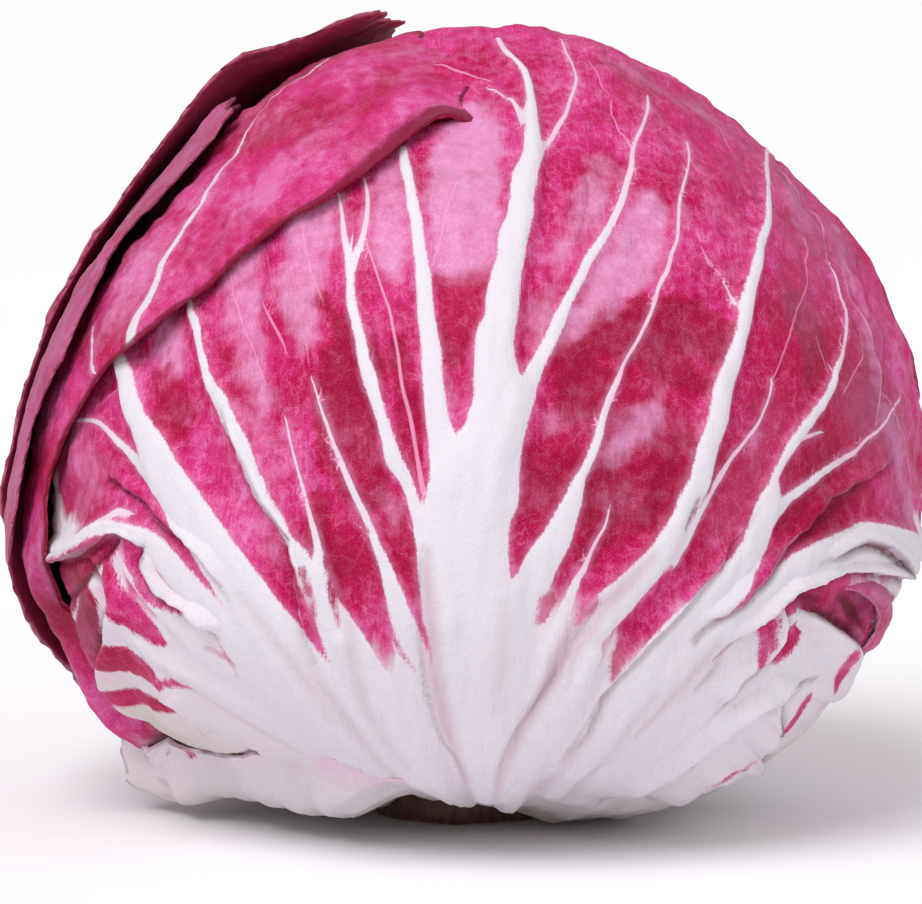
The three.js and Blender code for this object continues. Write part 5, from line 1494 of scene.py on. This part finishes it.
class LeafGraph(Graph):
    """A leaf's colour, from noises that its parts share and what is drawn on the mesh.
    `grain` is how streaked the flesh is."""

    def __init__(self, name, grain):
        super().__init__(name)
        self.grain = grain
        self.at = self.place()
        self.broad, self.small = self.noise(self.at, 0.12, 3), self.noise(self.at, 0.7, 3)
        self.grit, self.speck = self.noise(self.at, 3.0, 2), self.noise(self.at, 8.0, 1)
        self.along, self.aside = self.attr("along"), self.attr("aside")
        self.streak = self.lines(0.07, 0.7, 4)
        self.fine_streak = self.lines(0.35, 2.6, 3)
        self.rib_gap = self.attr("rib_gap")

    def lines(self, lengthwise, crosswise, detail):
        """Streaks that run out along the ribs."""
        at = self.combine(self.mul(self.along, lengthwise), self.mul(self.aside, crosswise))
        return self.noise(at, 1.0, detail, 0.6)

    def stroke(self, key, soft, jag, gap=None):
        """How far inside a drawn stroke; its edge frays with the noise."""
        narrow = self.calc("MINIMUM", self.mul(self.attr(key + "_half"), 1.6), 1.0)
        fray = self.mul(narrow, self.add(
            self.around(self.grit, jag), self.around(self.fine_streak, jag * 1.3),
            self.around(self.small, jag * 0.8)))
        inside = self.step(soft, -soft, self.add(gap or self.attr(key + "_gap"), fray))
        return self.mul(inside, self.attr(key + "_power"))

    def vein(self):
        """Drawn veins, by their signed side, for they are finer than the net."""
        half = self.attr("vein_half")
        near = self.step(0.75, 0.45, self.less(self.attr("vein_dist"), half))
        gap = self.less(self.calc("ABSOLUTE", self.attr("vein_side")), half)
        return self.mul(near, self.stroke("vein", 0.1, 0.15, gap))

    def cells(self, bent, scale, wide):
        n = self.node("ShaderNodeTexVoronoi", {"Vector": bent, "Scale": scale}, feature="DISTANCE_TO_EDGE")
        return self.step(wide, wide * 0.25, n.outputs["Distance"])

    def vein_net(self):
        """The coarse net, and a net of fine veins that is denser beside the ribs."""
        turns = self.node("ShaderNodeTexNoise", {"Vector": self.at, "Scale": 0.8, "Detail": 2.0})
        bent = self.vector("ADD", self.at, self.scaled(turns.outputs["Color"], 1.3))
        coarse, finer = self.cells(bent, 0.42, 0.055), self.cells(bent, 1.15, 0.075)
        near = self.step(7.0, 0.3, self.rib_gap)
        net = self.calc("MAXIMUM", self.mul(coarse, 0.75), self.mul(finer, self.mul_add(near, 0.35, 0.14)))
        red = self.mul(near, self.step(0.0, 0.8, self.attr("tone")))
        net = self.mul(net, self.mul_add(red, 0.24, 0.08))
        return coarse, self.mul(net, self.step(0.3, 0.62, self.small))

    def bloom(self):
        """How much waxy bloom and painted highlight lie on the flesh."""
        lit = self.step(0.0, 1.0, self.add(
            self.attr("bloom"), self.around(self.broad, 0.3), self.around(self.streak, 0.16 * self.grain),
            self.around(self.small, 0.4), self.around(self.fine_streak, 0.3 * self.grain),
            self.around(self.speck, 0.35)))
        patchy = self.add(0.68, self.around(self.small, 0.5), self.around(self.grit, 0.3))
        return self.mul(lit, patchy, clamp=True)

    def flesh(self, net, vein):
        tone = self.add(
            self.attr("tone"), self.around(self.broad, 0.35), self.around(self.small, 0.5),
            self.around(self.streak, 0.3 * self.grain), self.around(self.fine_streak, 0.5 * self.grain),
            self.around(self.speck, 0.45), self.around(self.grit, 0.35), clamp=True)
        flesh = self.ramp(tone, [(0.0, DEEP), (0.42, CRIMSON), (0.76, MAGENTA), (1.0, PINK)])
        # the waxy bloom and painted highlight, in lilac over the flesh
        bloom = self.bloom()
        flesh = self.mix(bloom, flesh, LILAC)
        beside_ribs = self.mul(self.step(1.0, 0.0, self.rib_gap), self.mul_add(self.small, 0.5, -0.05))
        flesh = self.mix(beside_ribs, flesh, LILAC)
        dull = self.mul(self.attr("dull"), 0.8, clamp=True)
        flesh = self.mix(dull, flesh, self.mix(self.small, MAUVE, MAUVE_PINK))
        flesh = self.mix(net, flesh, self.mix(self.step(0.15, 0.45, bloom), VEIN, CRIMSON))
        # pale specks: the flesh's stipple and painted glints
        flesh = self.mix(self.mul(self.step(0.60, 0.72, self.speck), 0.15), flesh, VEIN)
        vein_colour = self.mix(self.step(0.8, 1.0, self.attr("vein_power")), VEIN, WHITE)
        return self.mix(self.mul(vein, 0.9), flesh, vein_colour)

    def foot(self):
        return self.step(3.2, -2.6, self.add(
            self.attr("pale"), self.around(self.streak, 7.0), self.around(self.small, 3.0),
            self.around(self.fine_streak, 3.0)))

    def white(self, foot):
        """The ribs and the foot."""
        white = self.mix(self.step(0.0, -0.8, self.rib_gap), FOOT, WHITE)
        white = self.mix(self.mul(self.step(0.5, 0.2, self.attr("rib_half")), 0.6), white, VEIN)
        white = self.mix(self.mul(foot, self.step(0.42, 0.72, self.streak)), white, FOOT)
        blush = self.mul(self.step(0.52, 0.80, self.fine_streak), self.mul_add(foot, 0.22, 0.05))
        white = self.mix(blush, white, BLUSH)
        white = self.mix(self.mul(self.step(46.0, 16.0, self.along), 0.8), white, BEIGE)
        shaded = self.mul(self.attr("valley"), self.mul_add(self.fine_streak, 0.8, 0.6), clamp=True)
        return self.mix(shaded, white, VALLEY_SHADE)

    def free_edge(self, colour, foot, mauve, margin_shade):
        edge = self.attr("edge")
        if margin_shade:
            # painted shade: a maroon band just inside a curled free edge
            dark = self.step(1.0, 0.45, self.add(edge, self.around(self.small, 0.5)))
            return self.mix(self.mul(dark, margin_shade), colour, MAROON)
        # a pale margin with painted highlight along the free edges
        pale_edge_highlight = self.mul(self.step(0.42, 0.12, self.add(edge, self.around(self.grit, 0.3))), 0.5)
        return self.mix(pale_edge_highlight, colour, self.mix(foot, TAN if mauve else VEIN, FOOT))

    def under_face(self, coarse):
        reach = self.add(self.along, self.around(self.streak, 22.0))
        return self.mix(self.mul(coarse, 0.14), self.mix(self.step(30.0, 60.0, reach), FOOT, WINE), VEIN)


def leaf_material(name, mauve=0.0, margin_shade=0.0, grain=1.0):
    """Red flesh, white ribs and foot; `mauve` dulls it all and `margin_shade` paints shade along the free
    edges.
    """
    g = LeafGraph(name, grain)
    coarse, net = g.vein_net()
    foot = g.foot()
    white_share = g.mul(g.calc("MAXIMUM", g.stroke("rib", 0.16, 0.4), foot),
                        g.less(1.0, g.stroke("flame", 0.35, 1.0)))
    colour = g.mix(white_share, g.flesh(net, g.vein()), g.white(foot))
    colour = g.free_edge(colour, foot, mauve, margin_shade)
    # painted shade in the creases
    crease = g.mul(g.step(0.45, -0.55, g.attr("crease_gap")), g.attr("crease_power"))
    colour = g.mix(crease, colour, SHADE)
    # painted shade in hollows and under folds
    colour = g.mix(g.mul(g.attr("dark"), 0.9, clamp=True), colour, SHADE)
    colour = g.mix(g.attr("inside"), colour, g.under_face(coarse))
    if mauve:
        colour = g.mix(mauve, colour, MAUVE)
    height = g.add(g.around(g.grit, 0.35), g.around(g.small, 0.8), g.around(g.speck, 0.16),
                   g.mul(net, 0.5), g.around(g.fine_streak, 0.5))
    return g.surface(
        Base_Color=colour, Roughness=g.add(g.mul_add(g.small, 0.16, 0.34), g.mul(white_share, 0.06)),
        Normal=g.bump(height, 0.6, 0.0003), IOR=1.42, Specular_IOR_Level=0.12)


def heart_material():
    g = Graph("heart_colour")
    at = g.place()
    n = g.noise(g.vector("MULTIPLY", at, (1, 1, 0.25)), 0.25, 4, 0.6)
    f = g.noise(at, 1.5, 3)
    low, high = srgb(96, 6, 40), srgb(176, 40, 96)
    colour = g.mix(g.mul(g.step(0.55, 0.7, f), 0.3), g.mix(g.step(0.3, 0.7, n), low, high), low)
    return g.surface(Base_Color=colour, Roughness=0.6, Normal=g.bump(g.add(n, f), 0.5, 0.0004))


def stem_material():
    g = Graph("stem_colour")
    at = g.place()
    x, y, z = g.node("ShaderNodeSeparateXYZ", {0: at}).outputs[:3]
    reach = g.calc("SQRT", g.add(g.calc("POWER", g.less(x, CENTRE[0]), 2.0),
                                 g.calc("POWER", g.less(y, CENTRE[1]), 2.0)))
    small, grit = g.noise(at, 0.5, 4), g.noise(at, 2.5, 3)
    wobble = g.add(reach, g.around(small, 2.4))
    fibres = g.noise(g.vector("MULTIPLY", at, (1, 1, 0.2)), 0.9, 3)
    # the sides: the stalk's own brown, darkened as painted shade beneath the head
    side = g.mix(g.step(0.35, 0.7, fibres), srgb(112, 78, 72), srgb(78, 52, 50))
    cut = g.mix(g.step(6.0, 9.5, wobble), srgb(206, 184, 150), srgb(168, 120, 84))
    cut = g.mix(g.mul(g.step(0.52, 0.68, grit), 0.5), cut, srgb(132, 88, 58))
    return g.surface(
        Base_Color=g.mix(g.step(0.5, 0.1, z), side, cut), Roughness=g.mul_add(small, 0.2, 0.5),
        Normal=g.bump(g.add(small, grit), 0.5, 0.0004), Specular_IOR_Level=0.25)


def floor_material():
    g = Graph("floor_white")
    n = g.noise(g.node("ShaderNodeTexCoord").outputs["Object"], 3.0, 2)
    tint = g.mix(n, srgb(250, 249, 251), srgb(247, 246, 249))
    return g.surface(Base_Color=tint, Roughness=0.85, Specular_IOR_Level=0.2)


def dress(piece, material, node):
    """A piece on the one body, in place of a CAD node."""
    piece.data.materials.append(material)
    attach(piece, "root")
    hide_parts(node)


# mauve, painted shade along the margin, and grain of the leaves that aren't plain red
LEAF_LOOKS = dict(leaf_left=(0.08, 0.85, 0.4), leaf_left_outer=(0.6, 0.0), leaf_left_back=(0.5, 0.0))
skins = {}
for name, piece in pieces.items():
    node = "leaf_front" if name in FLAPS else name
    if node not in skins:
        skins[node] = leaf_material(node + "_colour", *LEAF_LOOKS.get(node, ()))
    if name not in FLAPS:
        piece.name = piece.data.name = name + "_skin"
    dress(piece, skins[node], node)

heart = bpy.data.objects["heart"]
heart.data.materials.clear()
heart.data.materials.append(heart_material())

# --------------------------------------------------------------------- stem
STEM_PROFILE = [    # radius and height, from the middle of the cut face to the top
    (0.0, 0.0), (4.0, 0.0), (8.0, 0.0), (10.6, 0.0), (11.6, 0.25), (12.2, 0.9), (12.5, 2.2), (12.4, 4.0),
    (11.9, 6.5), (11.0, 9.0), (9.6, 11.0), (6.0, 11.9), (0.0, 12.1)]
STEM_SIDES = 144


def build_stem():
    """The cut stalk: a fluted plug whose flat cut face carries the head."""
    rings, n = STEM_PROFILE[1:-1], STEM_SIDES
    verts, faces = [(CENTRE[0], CENTRE[1], STEM_PROFILE[0][1])], []
    for r, z in rings:
        for k in range(n):
            t = 2 * math.pi * k / n
            flute = 0.35 * math.sin(t * 7 + 0.6) + 0.2 * math.sin(t * 16 + 1.9) + 0.1 * math.sin(t * 41)
            q = r + flute * min(1, r / 8) * (0.5 if z == 0 else 1)
            verts.append((CENTRE[0] + q * math.cos(t), CENTRE[1] + q * math.sin(t), z))
    verts.append((CENTRE[0], CENTRE[1], STEM_PROFILE[-1][1]))
    top = 1 + (len(rings) - 1) * n
    for k in range(n):
        after = (k + 1) % n
        faces.append((0, 1 + after, 1 + k))
        faces += [(a + k, a + after, a + n + after, a + n + k) for a in range(1, top, n)]
        faces.append((top + k, top + after, len(verts) - 1))
    mesh = bpy.data.meshes.new("stem_cut")
    mesh.from_pydata([tuple(c * MM for c in v) for v in verts], [], faces)
    mesh.polygons.foreach_set("use_smooth", [True] * len(mesh.polygons))
    mesh.update()
    return link(bpy.data.objects.new("stem_cut", mesh))


dress(build_stem(), stem_material(), "stem")

# ---------------------------------------------------------- floor and light
FLOOR = 4.0         # metres to each side
floor_mesh = bpy.data.meshes.new("floor")
floor_mesh.from_pydata([(-FLOOR, -FLOOR, 0), (FLOOR, -FLOOR, 0), (FLOOR, FLOOR, 0), (-FLOOR, FLOOR, 0)],
                       [], [(0, 1, 2, 3)])
floor_mesh.materials.append(floor_material())
floor = link(bpy.data.objects.new("floor", floor_mesh))

bpy.context.scene.view_settings.view_transform = "Standard"
world = bpy.data.worlds.new("studio")
bpy.context.scene.world = world
world.use_nodes = True
world.node_tree.nodes["Background"].inputs[0].default_value = (1.0, 0.99, 1.0, 1)
world.node_tree.nodes["Background"].inputs[1].default_value = 0.60


def aim(ob, way):
    ob.rotation_mode = "QUATERNION"
    ob.rotation_quaternion = way.to_track_quat("-Z", "Y")


def lamp(name, kind, at, power, **more):
    data = bpy.data.lights.new(name, kind)
    data.energy = power
    for k, v in more.items():
        setattr(data, k, v)
    ob = link(bpy.data.objects.new(name, data))
    ob.location = at
    aim(ob, Vector((0, 0, 0.05)) - Vector(at))


lamp("key", "SUN", (-0.55, -0.8, 1.25), 1.95, angle=math.radians(40))
lamp("soft", "AREA", (0.5, -0.75, 0.5), 1.2, shape="DISK", size=0.5)

# ------------------------------------------------------------------- camera
SENSOR = 36.0
data = bpy.data.cameras.new("camera")
data.sensor_width = SENSOR
data.lens = SENSOR * EYE_DISTANCE / (PICTURE[0] * UNIT)
data.clip_start, data.clip_end = 0.05, 20
camera = link(bpy.data.objects.new("camera", data))
camera.location = Vector((CENTRE + EYE) * MM)
aim(camera, Vector(-BACK))
bpy.context.scene.camera = camera
